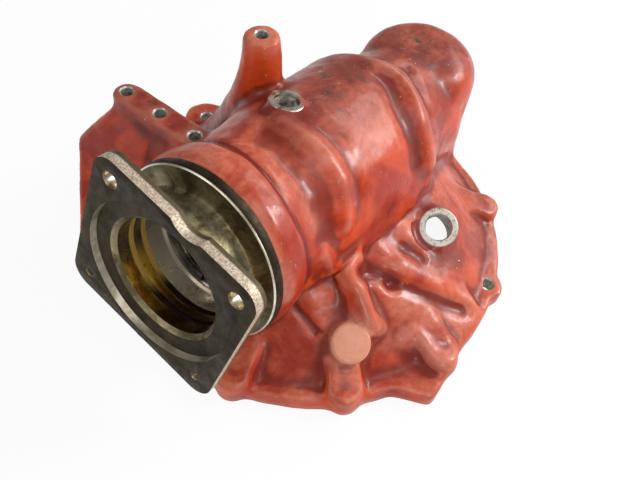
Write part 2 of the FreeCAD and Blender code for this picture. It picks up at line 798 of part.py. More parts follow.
def bearing(prefix, bore, outer, width, lay, base, balls):
    """A deep-groove ball bearing of four nodes, laid by its own function from a base height."""
    bore, outer, width = term(bore), term(outer), term(width)
    pitch = (bore + outer) / 2
    ball = (outer - bore) * 0.3
    groove = ball + size.running_gap
    land = (outer - bore) * 0.31
    middle = term(base) + width / 2

    def race(kind, small, big):
        blank = turned(f"{prefix}_{kind}_blank", [
            (small, base), (big, base), (big, term(base) + width), (small, term(base) + width)])
        track = placed(bind(doc.addObject("Part::Torus", f"{prefix}_{kind}_track"),
                            Radius1=pitch, Radius2=groove), z=middle)
        return lay(cut(f"{prefix}_{kind}", blank, [track]))

    node(f"{prefix}_outer_race", race("outer", outer - land, outer))
    node(f"{prefix}_inner_race", race("inner", bore, bore + land))
    spheres, pockets = [], []
    for index in range(balls):
        angle = index * 360 / balls
        x, y = round_the_axis(pitch, angle)
        sphere = bind(doc.addObject("Part::Sphere", f"{prefix}_ball_{index}"), Radius=ball)
        spheres.append(placed(sphere, x, y, middle))
        near_x, near_y = round_the_axis(pitch - 4, angle)
        pocket = cylinder(f"{prefix}_pocket_{index}", ball + 0.2, 8)
        pockets.append(placed(pocket, near_x, near_y, middle, [(AXIS_Z, angle), (AXIS_Y, 90)]))
    group = doc.addObject("Part::Compound", f"{prefix}_ball_group")
    group.Links = spheres
    node(f"{prefix}_balls", lay(group))
    band = turned(f"{prefix}_cage_band", [
        (pitch - 1.4, middle - ball - 1.4), (pitch + 1.4, middle - ball - 1.4),
        (pitch + 1.4, middle + ball + 1.4), (pitch - 1.4, middle + ball + 1.4)])
    node(f"{prefix}_cage", lay(cut(f"{prefix}_cage_pierced", band, pockets)))


def split_clip(name, inner, outer, base, lay):
    """A circlip: a flat ring with a gap."""
    full = clip_ring(f"{name}_ring", inner, outer, base)
    gap = placed(box(f"{name}_gap", 60, 7, 10), 0, -3.5, term(base) - 4)
    return node(name, lay(cut(f"{name}_split", full, [gap])))


def splines(name, count, root, tip, height, base):
    """Splines that stand inwards from a bore: narrow blocks round it, as one solid group."""
    blocks = []
    width = math.pi * tip.value / count
    for index in range(count):
        block = box(f"{name}_{index}", root - tip + 1, width, height)
        angle = index * 360 / count
        x, y = round_the_axis(tip, angle)
        shift_x, shift_y = round_the_axis(width / 2, angle + 90)
        placed(block, x - shift_x, y - shift_y, base, [(AXIS_Z, angle)])
        blocks.append(block)
    return blocks


def pinion_shaft():
    """Shaft forged with its bevel pinion, a splined socket at the trunnion end."""
    start = along_from_plate(size.near_bearing_start) - size.seat_lip + 0.5
    bearing_end = along_from_plate(size.near_bearing_start) + size.near_bearing_width
    teeth, cone_angle = int(size.pinion_teeth.value), CONES["pinion"]
    pitch_radius = size.crown_pitch_radius.value * teeth / size.crown_teeth.value
    shift = size.pinion_shift.value
    tip, inner_tip, inner_foot, foot = bevel_tips(teeth, pitch_radius, cone_angle, shift, 3)
    gaps = bevel_gaps(teeth, pitch_radius, cone_angle, shift, 0.5)
    back = size.far_bearing_start - size.spacer_length - size.shim_thick
    points = [tip, inner_tip, inner_foot, V(0, 0, inner_foot.z), V(0, 0, -back.value),
              V(foot.x, 0, -back.value), foot]
    pinion = doc.addObject("Part::Feature", "bevel_pinion")
    solid = gear_solid(points, gaps)
    solid.rotate(V(0, 0, 0), V(1, 0, 0), 180)
    pinion.Shape = solid
    end = size.far_bearing_start + size.far_bearing_width + 5
    clip = size.far_bearing_start + size.far_bearing_width
    near_clip = along_from_plate(size.near_bearing_start) - size.clip_thick
    journal, far = size.near_journal_radius, size.far_journal_radius
    blank = turned("shaft_blank", [
        (0, start), (journal - 1, start), (journal, start + 1), (journal, near_clip),
        (journal - size.clip_depth, near_clip),
        (journal - size.clip_depth, near_clip + size.clip_thick),
        (journal, near_clip + size.clip_thick),
        (journal, bearing_end), (journal + 3, bearing_end), (journal + 3, bearing_end + 6),
        (size.shaft_radius, bearing_end + 26, 12), (size.shaft_radius, back - 4),
        (far, back - 4), (far, clip), (far - size.clip_depth, clip),
        (far - size.clip_depth, clip + size.clip_thick), (far, clip + size.clip_thick),
        (far, end - 1), (far - 1, end), (0, end)])
    socket = placed(cylinder("shaft_socket", size.socket_radius, size.socket_depth + 1),
                    z=start - 1)
    pilot = placed(cylinder("shaft_pilot", size.socket_pilot_radius, size.pilot_depth + 1),
                   z=start - 1)
    ridges = splines("shaft_spline", int(size.socket_splines.value), size.socket_radius,
                     size.socket_radius - 1.6, size.socket_depth - size.pilot_depth,
                     start + size.pilot_depth)
    bored = cut("shaft_bored", fused("shaft_forms", [blank, pinion]), [socket, pilot])
    return on_shaft(fused("shaft_whole", [bored] + ridges))


def crown_gear():
    """Bevel crown wheel, teeth up, bored to sit round the hub bearing's boss."""
    teeth, cone_angle = int(size.crown_teeth.value), CONES["crown"]
    radius = size.crown_pitch_radius.value
    shift = -size.pinion_shift.value
    tip, inner_tip, inner_foot, foot = bevel_tips(teeth, radius, cone_angle, shift, 3)
    apex = size.crossing_height.value
    back, bore = size.hub_flange_top.value - apex, size.crown_bore_radius.value
    points = [tip, inner_tip, inner_foot, V(bore, 0, inner_foot.z - 4), V(bore, 0, back),
              V(foot.x, 0, back), foot]
    gear = doc.addObject("Part::Feature", "crown_wheel")
    solid = gear_solid(points, bevel_gaps(teeth, radius, cone_angle, shift, 0))
    for index in range(int(size.gear_bolt_count.value)):
        angle = math.radians(index * 360 / size.gear_bolt_count.value)
        circle = size.gear_bolt_circle_radius.value
        hole = Part.makeCylinder(size.gear_bolt_radius.value,
                                 size.gear_bolt_reach.value - back - apex,
                                 V(circle * math.cos(angle), circle * math.sin(angle), back))
        solid = solid.cut(hole)
    gear.Shape = solid
    return placed(gear, z=size.crossing_height)


def gear_hub():
    """Hub: flange under the crown wheel, journal up in the small bearing, splined bore."""
    top = size.hub_bearing_floor + size.hub_bearing_width
    clip_end = top + size.clip_thick
    journal = size.hub_journal_radius
    pilot_end = size.hub_base + size.pilot_depth
    hub = turned_body("gear_hub_blank", [
        (size.hub_pilot_radius, size.hub_base), (size.hub_collar_radius, size.hub_base),
        (size.hub_collar_radius, size.hub_flange_base, 3),
        (size.hub_flange_radius, size.hub_flange_base),
        (size.hub_flange_radius, size.hub_flange_top),
        (size.hub_collar_radius - 3, size.hub_flange_top),
        (size.hub_collar_radius - 3, size.hub_bearing_floor),
        (journal, size.hub_bearing_floor), (journal, top),
        (journal - size.clip_depth, top), (journal - size.clip_depth, clip_end),
        (journal, clip_end), (journal, clip_end + 2), (journal - 1, clip_end + 3),
        (size.hub_spline_radius + 1.5, clip_end + 3),
        (size.hub_spline_radius + 1.5, pilot_end), (size.hub_pilot_radius, pilot_end)])
    holes = body_sketch(hub, "gear_bolt_hole_circle", "XY_Plane")
    circle = holes.addGeometry(
        Part.Circle(V(size.gear_bolt_circle_radius.value, 0, 0), V(0, 0, 1),
                    size.gear_bolt_radius.value), False)
    radius = holes.addConstraint(Sketcher.Constraint("Radius", circle,
                                                     size.gear_bolt_radius.value))
    reach = holes.addConstraint(Sketcher.Constraint("DistanceX", -1, 1, circle, 3,
                                                    size.gear_bolt_circle_radius.value))
    holes.addConstraint(Sketcher.Constraint("PointOnObject", circle, 3, -1))
    holes.setExpression(f"Constraints[{radius}]", size.gear_bolt_radius.text)
    holes.setExpression(f"Constraints[{reach}]", size.gear_bolt_circle_radius.text)
    doc.recompute()
    before = hub.Shape.Volume
    pocket = hub.newObject("PartDesign::Pocket", "gear_bolt_hole")
    pocket.Profile, pocket.Type, pocket.Midplane = holes, 1, True
    doc.recompute()
    ring_of_holes = hub.newObject("PartDesign::PolarPattern", "gear_bolt_holes")
    ring_of_holes.Originals = [pocket]
    ring_of_holes.Axis = (holes, ["N_Axis"])
    ring_of_holes.Angle = 360
    bind(ring_of_holes, Occurrences=size.gear_bolt_count)
    hub.Tip = ring_of_holes
    doc.recompute()
    if hub.Shape.Volume >= before:
        raise RuntimeError("the hub's bolt holes cut nothing")
    teeth = splines("hub_spline", int(size.hub_splines.value), size.hub_spline_radius + 1.5,
                    size.hub_spline_radius, clip_end + 3 - pilot_end, pilot_end)
    return fused("gear_hub_whole", [hub] + teeth)


def gear_bolts():
    """Hexagon bolts that hold the crown wheel on its hub, heads under the flange."""
    head = 5.3
    bolts = []
    for index in range(int(size.gear_bolt_count.value)):
        x, y = round_the_axis(size.gear_bolt_circle_radius,
                              index * (term(360) / size.gear_bolt_count))
        shank = placed(cylinder(f"gear_bolt_shank_{index}", size.gear_bolt_radius,
                                size.gear_bolt_reach - size.hub_flange_base + 1),
                       x, y, size.hub_flange_base - 1)
        hexagon = bind(doc.addObject("Part::Prism", f"gear_bolt_head_{index}"),
                       Circumradius=size.gear_bolt_radius * 1.8, Height=head)
        hexagon.Polygon = 6
        placed(hexagon, x, y, size.hub_flange_base - head)
        bolts.append(fused(f"gear_bolt_{index}", [shank, hexagon]))
    group = doc.addObject("Part::Compound", "gear_bolt_group")
    group.Links = bolts
    return group


def filler_plug():
    """Taper plug with a hexagon socket, sunk a little in the filler boss."""
    length = size.filler_plug_length
    plug = cylinder("filler_plug_body", size.filler_plug_radius, length)
    socket = bind(doc.addObject("Part::Prism", "filler_plug_socket"),
                  Circumradius=size.filler_socket_flats / math.sqrt(3), Height=length)
    socket.Polygon = 6
    placed(socket, z=length * 0.4)
    base = size.filler_height - size.filler_recess - length
    place = size.filler_place
    return placed(cut("filler_plug_whole", plug, [socket]),
                  place * cosine(size.lean) + base * sine(size.lean), size.filler_offset,
                  size.crossing_height - place * sine(size.lean) + base * cosine(size.lean),
                  [(AXIS_Y, size.lean)])


node("drive_case", drive_case())
node("trunnion_sleeve", trunnion_sleeve())
node("filler_plug", filler_plug())
node("pinion_shaft", pinion_shaft())
near_start = along_from_plate(size.near_bearing_start)
bearing("near_bearing", size.near_journal_radius, size.near_bearing_radius,
        size.near_bearing_width, on_shaft, near_start, 9)
bearing("far_bearing", size.far_journal_radius, size.far_bearing_radius,
        size.far_bearing_width, on_shaft, size.far_bearing_start, 9)
split_clip("near_seat_circlip", size.near_bearing_radius - 5,
           size.near_bearing_radius + size.clip_depth, near_start - size.clip_thick, on_shaft)
split_clip("near_shaft_circlip", size.near_journal_radius - size.clip_depth,
           size.near_journal_radius + 3, near_start - size.clip_thick, on_shaft)
far_end = size.far_bearing_start + size.far_bearing_width
split_clip("far_shaft_circlip", size.far_journal_radius - size.clip_depth,
           size.far_journal_radius + 3, far_end, on_shaft)
shim_start = size.far_bearing_start - size.shim_thick
spacer_start = shim_start - size.spacer_length
far_bore = size.far_journal_radius
node("spacer_sleeve", on_shaft(turned_body("spacer_body", [
    (far_bore, spacer_start), (far_bore + size.spacer_wall, spacer_start),
    (far_bore + size.spacer_wall, shim_start), (far_bore, shim_start)])))
node("pinion_shim", on_shaft(turned_body("shim_body", [
    (far_bore, shim_start), (far_bore + size.spacer_wall, shim_start),
    (far_bore + size.spacer_wall, size.far_bearing_start), (far_bore, size.far_bearing_start)])))
node("crown_gear", crown_gear())
node("gear_hub", gear_hub())
node("gear_bolts", gear_bolts())
bearing("hub_bearing", size.hub_journal_radius, size.hub_bearing_radius,
        size.hub_bearing_width, placed, size.hub_bearing_floor, 10)
split_clip("hub_seat_circlip", size.hub_bearing_radius - 4,
           size.hub_bearing_radius + size.clip_depth,
           size.hub_bearing_floor - size.clip_thick, placed)
split_clip("hub_journal_circlip", size.hub_journal_radius - size.clip_depth,
           size.hub_journal_radius + 3, size.hub_bearing_floor + size.hub_bearing_width, placed)

doc.recompute()
failed = [thing.Name for thing in doc.Objects if "Invalid" in thing.State or "Error" in thing.State]
if failed:
    raise RuntimeError(f"these objects failed: {failed}")
for name, thing in nodes.items():
    if thing.Shape.isNull() or not thing.Shape.isValid():
        raise RuntimeError(f"{name} has no valid shape")

os.makedirs("parts", exist_ok=True)
for name, thing in nodes.items():
    thing.Shape.exportStep(f"parts/{name}.step")
    print(f"{name}: {len(thing.Shape.Solids)} solid(s), {thing.Shape.Volume / 1000:.1f} cm3")
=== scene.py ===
# %% [markdown]
# # Final drive housing
# The CAD model is the frame of this lesson: it holds every piece of the drive at its real size and
# place. Here the castings and steel get the look that they have in the photograph.
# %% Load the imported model
import json
import math

import bpy
import numpy as np
from mathutils import Matrix, Vector


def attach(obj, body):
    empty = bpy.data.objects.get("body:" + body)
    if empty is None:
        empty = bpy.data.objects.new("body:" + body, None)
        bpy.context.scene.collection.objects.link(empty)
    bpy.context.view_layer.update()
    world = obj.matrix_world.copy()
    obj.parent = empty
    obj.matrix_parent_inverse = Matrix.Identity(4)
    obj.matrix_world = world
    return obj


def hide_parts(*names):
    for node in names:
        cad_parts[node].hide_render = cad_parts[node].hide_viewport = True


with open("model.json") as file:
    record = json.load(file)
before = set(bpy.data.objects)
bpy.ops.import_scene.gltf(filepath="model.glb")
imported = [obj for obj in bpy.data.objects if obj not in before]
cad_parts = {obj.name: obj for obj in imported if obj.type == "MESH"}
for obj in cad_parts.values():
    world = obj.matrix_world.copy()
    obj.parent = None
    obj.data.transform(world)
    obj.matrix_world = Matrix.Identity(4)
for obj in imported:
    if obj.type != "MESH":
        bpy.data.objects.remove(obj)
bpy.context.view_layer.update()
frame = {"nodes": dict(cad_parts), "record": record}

nodes = frame["nodes"]
print("CAD nodes:", len(nodes))

# %% [markdown]
# ## Units and the line of the pinion shaft
# Sizes are written in millimetres and turned into metres by MM. The pinion shaft leans ten degrees
# against the flange, so pieces that sit on it are made upright round the Z axis and then laid along
# the shaft by one matrix. Lengths along the shaft are counted from the square plate's front face.
# %% Units and axes
MM = 0.001
LEAN = math.radians(10)
CROSSING_HEIGHT = 77
PLATE_REACH = 162.5
SHOULDER_END, SPIGOT_END = 42, 71
SHAFT_DIRECTION = Vector((math.cos(LEAN), 0, -math.sin(LEAN)))


def along_shaft(behind_plate):
    """Lays a piece along the shaft, from a distance behind the square plate's front face."""
    along = behind_plate - PLATE_REACH
    place = Vector((0, 0, CROSSING_HEIGHT)) + along * SHAFT_DIRECTION
    return Matrix.Translation(place * MM) @ Matrix.Rotation(math.radians(90) + LEAN, 4, "Y")


def standing(x, y, z):
    return Matrix.Translation(Vector((x, y, z)) * MM)


LEVEL_FACE = Vector((27, -94, 59.4))
LEVEL_TURN = (Matrix.Rotation(math.radians(206), 4, "Z")
              @ Matrix.Rotation(math.radians(31), 4, "Y"))
LEVEL_MATRIX = Matrix.Translation(LEVEL_FACE * MM) @ LEVEL_TURN

FILLER_ALONG, FILLER_SIDE, FILLER_TOP = -33.5, 16, 65
FILLER_MATRIX = (Matrix.Translation((Vector((0, FILLER_SIDE, CROSSING_HEIGHT))
                                     + FILLER_ALONG * SHAFT_DIRECTION) * MM)
                 @ Matrix.Rotation(LEAN, 4, "Y"))
print("level boss at", tuple(round(v, 1) for v in LEVEL_FACE), "mm")

# %% [markdown]
# ## Working by hand in code
# Blender's operators act on whatever is selected, so each step first selects only its own piece.
# A lathe piece starts as a filled circle that is extruded and resized once for every ring of its
# outline, which is how a turned part would be pulled up by hand in the viewport.
# %% Selection and edit helpers


def select_only(*pieces):
    bpy.ops.object.select_all(action="DESELECT")
    for piece in pieces:
        piece.select_set(True)
    bpy.context.view_layer.objects.active = pieces[0]


def edit(piece, mode="VERT"):
    select_only(piece)
    bpy.ops.object.mode_set(mode="EDIT")
    bpy.ops.mesh.select_mode(type=mode)
    bpy.ops.mesh.select_all(action="SELECT")


def leave_edit():
    bpy.ops.object.mode_set(mode="OBJECT")


def apply_place(piece, matrix):
    """Moves the piece and puts its place in its mesh."""
    piece.matrix_world = matrix
    select_only(piece)
    bpy.ops.object.transform_apply(location=True, rotation=True, scale=True)
    return piece


def apply_modifier(piece, kind, **settings):
    modifier = piece.modifiers.new(kind.lower(), kind)
    for name, value in settings.items():
        setattr(modifier, name, value)
    select_only(piece)
    bpy.ops.object.modifier_apply(modifier=modifier.name)
    return piece


def triangles(piece):
    piece.data.calc_loop_triangles()
    return len(piece.data.loop_triangles)


def lathe(name, outline, matrix=Matrix(), steps=96):
    """A closed turned solid through (radius, height) rings, bottom first, in millimetres."""
    bpy.ops.object.select_all(action="DESELECT")
    radius, height = outline[0]
    bpy.ops.mesh.primitive_circle_add(vertices=steps, radius=radius * MM, fill_type="NGON",
                                      location=(0, 0, height * MM))
    piece = bpy.context.object
    piece.name = piece.data.name = name
    apply_place(piece, piece.matrix_world.copy())
    edit(piece, "FACE")
    for next_radius, next_height in outline[1:]:
        bpy.ops.mesh.extrude_region_move(
            TRANSFORM_OT_translate={"value": (0, 0, (next_height - height) * MM)})
        grow = next_radius / radius
        bpy.ops.transform.resize(value=(grow, grow, 1),
                                 center_override=(0, 0, next_height * MM))
        radius, height = next_radius, next_height
    bpy.ops.mesh.select_all(action="SELECT")
    bpy.ops.mesh.normals_make_consistent(inside=False)
    leave_edit()
    return apply_place(piece, matrix)


def rod(name, radius, low, high, matrix=Matrix(), steps=96):
    """A plain round bar between two heights."""
    return lathe(name, [(radius, low), (radius, high)], matrix, steps)


def join(name, pieces):
    select_only(*pieces)
    bpy.ops.object.join()
    whole = bpy.context.object
    whole.name = whole.data.name = name
    return whole


def combine(base, tool, operation):
    """A boolean, after which the tool is gone."""
    apply_modifier(base, "BOOLEAN", object=tool, operation=operation, solver="MANIFOLD")
    bpy.data.objects.remove(tool)


def smooth_under(piece, degrees):
    """Soft shading over every edge that bends less than an angle."""
    select_only(piece)
    bpy.ops.object.shade_smooth_by_angle(angle=math.radians(degrees))


# %% [markdown]
# ## The casting: closing the solid
# The red housing is one grey-iron sand casting. Its surfaces flow into each other with wide
# fillets, because sharp inner corners tear when iron shrinks. The CAD solid has the right forms but
# meets them at hard seams. So a copy of it is filled up where the machinist would later bore it,
# and remeshed as one skin of small even faces, like a wooden pattern before it is cored.
# %% Holes that the machinist bores
BOLT_CIRCLE, BOLT_COUNT, FIRST_BOLT = 148, 12, -73
EARS = (0, 5)
bolt_places = []
for index in range(BOLT_COUNT):
    angle = math.radians(FIRST_BOLT + index * 360 / BOLT_COUNT)
    bolt_places.append((BOLT_CIRCLE * math.cos(angle), BOLT_CIRCLE * math.sin(angle)))
TAPPED_TOPS = [(-65, 122, 118), (-65, 90, 118), (-65, 58, 118), (-5, 52, 170)]
TAPPED_RADIUS, TAPPED_DEPTH = 4.25, 24
BOLT_RADIUS, BOLT_DEPTH, EAR_THICK = 5.1, 15, 12
LEVEL_RADIUS, FILLER_RADIUS = 9.5, 8.8
CHAMBER_RADIUS, SPIGOT_RADIUS = 128, 50
SINK_GROW, SINK_DEPTH = 1.1, 1.4


def small_holes(grow, above):
    """A bar for every drilled hole: a little larger to fill it, true to size to drill it."""
    found = [(x, y, TAPPED_RADIUS, top - TAPPED_DEPTH, top + above) for x, y, top in TAPPED_TOPS]
    for index, (x, y) in enumerate(bolt_places):
        top = EAR_THICK + above if index in EARS else BOLT_DEPTH
        found.append((x, y, BOLT_RADIUS, -above, top))
    return [rod("hole", radius + grow, low, high, standing(x, y, 0), 32)
            for x, y, radius, low, high in found]


def countersinks():
    """Short cones that break the upper edge of every drilled hole."""
    tops = [(*tapped_top, TAPPED_RADIUS) for tapped_top in TAPPED_TOPS]
    tops += [(*bolt_places[index], EAR_THICK, BOLT_RADIUS) for index in EARS]
    return [lathe("countersink", [(radius - 0.4, height - SINK_DEPTH),
                                  (radius + SINK_GROW, height + 0.1),
                                  (radius + SINK_GROW, height + 1)], standing(x, y, 0), 32)
            for x, y, height, radius in tops]


print("bolt holes:", len(bolt_places))

# %% Fill the casting and take its skin
SKIN_STEP = 1.9 * MM


def copy_of_node(node_name, name):
    piece = bpy.data.objects.new(name, nodes[node_name].data.copy())
    bpy.context.scene.collection.objects.link(piece)
    piece.data.materials.clear()
    edit(piece)
    bpy.ops.mesh.remove_doubles(threshold=1e-6)
    leave_edit()
    return piece


def largest_part(piece):
    """Keeps the outer skin and drops what the filling left inside it."""
    select_only(piece)
    bpy.ops.mesh.separate(type="LOOSE")
    parts = sorted(bpy.context.selected_objects, key=lambda part: -max(part.dimensions))
    for part in parts[1:]:
        bpy.data.objects.remove(part)
    return parts[0]


def new_skin(piece, step):
    return apply_modifier(piece, "REMESH", mode="VOXEL", voxel_size=step, adaptivity=0)


def swell(piece, distance):
    return apply_modifier(piece, "DISPLACE", strength=distance, mid_level=0)


MOUTH_SLACK, HOLE_SLACK, DRILL_SLACK = 1.5, 0.7, 0.5
filling = small_holes(DRILL_SLACK, 0)
filling += [
    rod("mouth_fill", CHAMBER_RADIUS + MOUTH_SLACK, 0, 4),
    rod("collar_fill", SPIGOT_RADIUS + MOUTH_SLACK, 0, 5, along_shaft(SHOULDER_END)),
    rod("level_fill", LEVEL_RADIUS + HOLE_SLACK, -9, 0, LEVEL_MATRIX, 32),
    rod("filler_fill", FILLER_RADIUS + HOLE_SLACK, FILLER_TOP - 9, FILLER_TOP, FILLER_MATRIX, 32),
]
casting = join("cast_housing", [copy_of_node("drive_case", "cast_housing")] + filling)
casting = largest_part(new_skin(casting, SKIN_STEP))
print("skin of the filled casting:", triangles(casting), "triangles")

# %% [markdown]
# ## Fillets of the pattern maker
# Pushing the whole skin outwards and drawing it back in again leaves outer forms as they were but
# fills every inner corner with a round of the same radius. This is the quickest way to give a
# complex casting the wax fillets that a pattern maker rubs in with a ball tool.
# %% Fillets
FILLET = 2.6 * MM
swell(casting, FILLET)
casting = largest_part(new_skin(casting, SKIN_STEP))
swell(casting, -FILLET)
casting = largest_part(new_skin(casting, SKIN_STEP))
apply_modifier(casting, "SMOOTH", factor=0.5, iterations=5)
print("casting with fillets:", triangles(casting), "triangles")

# %% [markdown]
# ## Strokes of the carver
# The photograph shows ridges, valleys and pits that come from the wooden pattern and its cores:
# a streak that runs down the tunnel, a brow beside the dome, a pit at the foot of the tunnel.
# Each is a stroke along a few points on the skin. Points near the stroke move along their normals,
# most at its middle, as a sculpting brush would move them. A row of a stroke list holds the points,
# the width and the height or depth. Where the collar meets the tunnel the skin gets a crease, and
# the collar's front edge is rounded.
# %% Carving strokes


def distance_to_path(spots, path):
    """Distance of every spot to a line through points, all in millimetres."""
    best = np.full(len(spots), 1e9)
    for start, stop in zip(path, path[1:] or path):
        start, stop = np.array(start, float), np.array(stop, float)
        run = stop - start
        share = (spots - start) @ run / max(run @ run, 1e-9)
        foot = start + np.clip(share, 0, 1)[:, None] * run
        best = np.minimum(best, np.linalg.norm(spots - foot, axis=1))
    return best


def spots_and_normals(piece):
    count = len(piece.data.vertices)
    spots, normals = np.empty(count * 3), np.empty(count * 3)
    piece.data.vertices.foreach_get("co", spots)
    piece.data.vertex_normals.foreach_get("vector", normals)
    return spots.reshape(-1, 3) / MM, normals.reshape(-1, 3)


def brush(distance, width):
    """Full strength on the stroke, none at its width away, smooth between."""
    near = np.clip(1 - distance / width, 0, 1)
    return near * near * (3 - 2 * near)


STREAK = [(-39, 6, 147), (-39, -11, 145.6), (-38.2, -21, 142.6), (-38.1, -28.3, 139.7),
          (-38.3, -37, 134.4), (-39.4, -44, 128.4), (-44.2, -51.2, 119.8), (-50.5, -57.9, 106)]
RIB = [(-72.7, -57.9, 98.6), (-66, -61, 76), (-55, -66, 68), (-56, -79, 59), (-59.8, -92.9, 47.9),
       (-61, -100.8, 39)]
BROW = [(60.7, 1, 135.1), (71, -15.2, 129.1), (61.5, -32.3, 126.7), (54, -48, 115),
        (50, -60.2, 99.4), (50.2, -63.8, 88)]
PIT = [(-46.3, -75.5, 64.7), (-38.5, -78, 59.5), (-33, -87, 55.5), (-31.3, -93.8, 51.9)]
GUTTER = [(-31.3, -93.8, 51.9), (-24, -104, 46), (-16.6, -114.4, 39.7), (-6, -127, 30),
          (2.6, -137.9, 21.5)]
VALLEY = [(-4, -86, 58.5), (-3, -90, 57.5), (0, -97, 53)]
FOOT = [(-78, -58, 60), (-54, -62.5, 65), (-38, -66, 66), (-20, -67, 66), (2, -68, 67),
        (26, -68, 70)]
LEVEL_LIP = [(6, -80, 60), (12, -90, 56)]
BELL_RIDGE = [(-44.7, -122, 25.9), (-42, -140, 18), (-37.8, -156.9, 12)]
GUTTER_BANK = [(-21.9, -71.8, 61.5), (-16.8, -93.9, 54.5), (-3.4, -114.6, 40.4),
               (14.9, -139.7, 21)]
PANEL = [(-58, 2, 147), (-60, -22, 142.5), (-62, -38, 133), (-64, -49, 120), (-68, -56, 104)]
BROW_HOLLOW = [(52.5, -13.4, 134.8), (42, -31, 130), (36.4, -49.1, 116.8), (32, -61, 99.2)]
DOME_HOLLOW = [(94, -10, 118), (80, -34, 114), (72, -52, 100), (70, -62, 82)]
RAISED = [(FOOT, 19, 4.0), (LEVEL_LIP, 14, 2.0), (STREAK, 13, 3.4), (RIB, 12, 5.0),
          (BROW, 12, 3.4), (BELL_RIDGE, 13, 3.0), (GUTTER_BANK, 12, 1.7)]
PRESSED = [(PANEL, 20, 3.0), (BROW_HOLLOW, 13, 3.0), (DOME_HOLLOW, 13, 2.8), (PIT, 10, 4.6),
           (GUTTER, 9, 2.2), (VALLEY, 9, 2.6)]
print("strokes:", len(RAISED), "raised,", len(PRESSED), "pressed")

# %% Crease and rounded front of the collar
CREASE_ANGLES, CREASE_PLACES = (-90, -7, 38, 54, 90, 127, 180), (80, 73, 66, 68, 74, 80, 82)
CREASE_WIDTH, CREASE_DEPTH, CREASE_REACH, NO_CREASE = 4.5, 1.8, 92, 99
COLLAR_FRONT = SHOULDER_END - PLATE_REACH
COLLAR_RADIUS, COLLAR_LENGTH, FRONT_WIDTH, FRONT_DROP = 74, 30, 9, 2.6
CROSSING, SHAFT_LINE = np.array((0, 0, CROSSING_HEIGHT)), np.array(SHAFT_DIRECTION)


def crease_distance(spots):
    """How far a spot lies, along the shaft, from the crease where the collar meets the tunnel."""
    away = spots - CROSSING
    along = away @ SHAFT_LINE + PLATE_REACH
    upward = away @ np.array((math.sin(LEAN), 0, math.cos(LEAN)))
    angle = np.degrees(np.arctan2(-away[:, 1], upward))
    near_shaft = np.hypot(away[:, 1], upward) < CREASE_REACH
    gap = np.abs(along - np.interp(angle, CREASE_ANGLES, CREASE_PLACES))
    return np.where(near_shaft, gap, NO_CREASE)


def carve(piece):
    """Moves every point of the skin by what all strokes ask of it."""
    spots, normals = spots_and_normals(piece)
    move = np.zeros(len(spots))
    for path, width, height in RAISED:
        move += brush(distance_to_path(spots, path), width) * height
    for path, width, depth in PRESSED:
        move -= brush(distance_to_path(spots, path), width) * depth
    away = spots - CROSSING
    along = away @ SHAFT_LINE
    radial = away - along[:, None] * SHAFT_LINE
    radius = np.linalg.norm(radial, axis=1)
    facing_out = np.clip((radial * normals).sum(axis=1) / np.maximum(radius, 1), 0, 1)
    on_collar = (radius < COLLAR_RADIUS) * (along < COLLAR_FRONT + COLLAR_LENGTH)
    front = brush(np.abs(along - COLLAR_FRONT), FRONT_WIDTH)
    move -= front * facing_out * on_collar * FRONT_DROP
    move -= brush(crease_distance(spots), CREASE_WIDTH) * CREASE_DEPTH
    spots += normals * move[:, None]
    piece.data.vertices.foreach_set("co", (spots * MM).ravel())
    piece.data.update()


carve(casting)
sand = bpy.data.textures.new("sand_lumps", "CLOUDS")
sand.noise_scale = 16 * MM
apply_modifier(casting, "DISPLACE", texture=sand, texture_coords="LOCAL", strength=1.3 * MM,
               mid_level=0.5)
apply_modifier(casting, "SMOOTH", factor=0.5, iterations=4)
print("carved points:", len(casting.data.vertices))

# %% [markdown]
# ## Finishes
# Each finish is a small tree of noises that read Object coordinates, so it stays on the piece in
# every view and pose. A few helpers keep the trees short: one makes a noise, one turns a noise into
# a mask between two levels, one mixes two colours or values by a mask. Most bare metal here is two
# tones, a clean one and a stained one, which a noise sets against each other.
# %% Node helpers


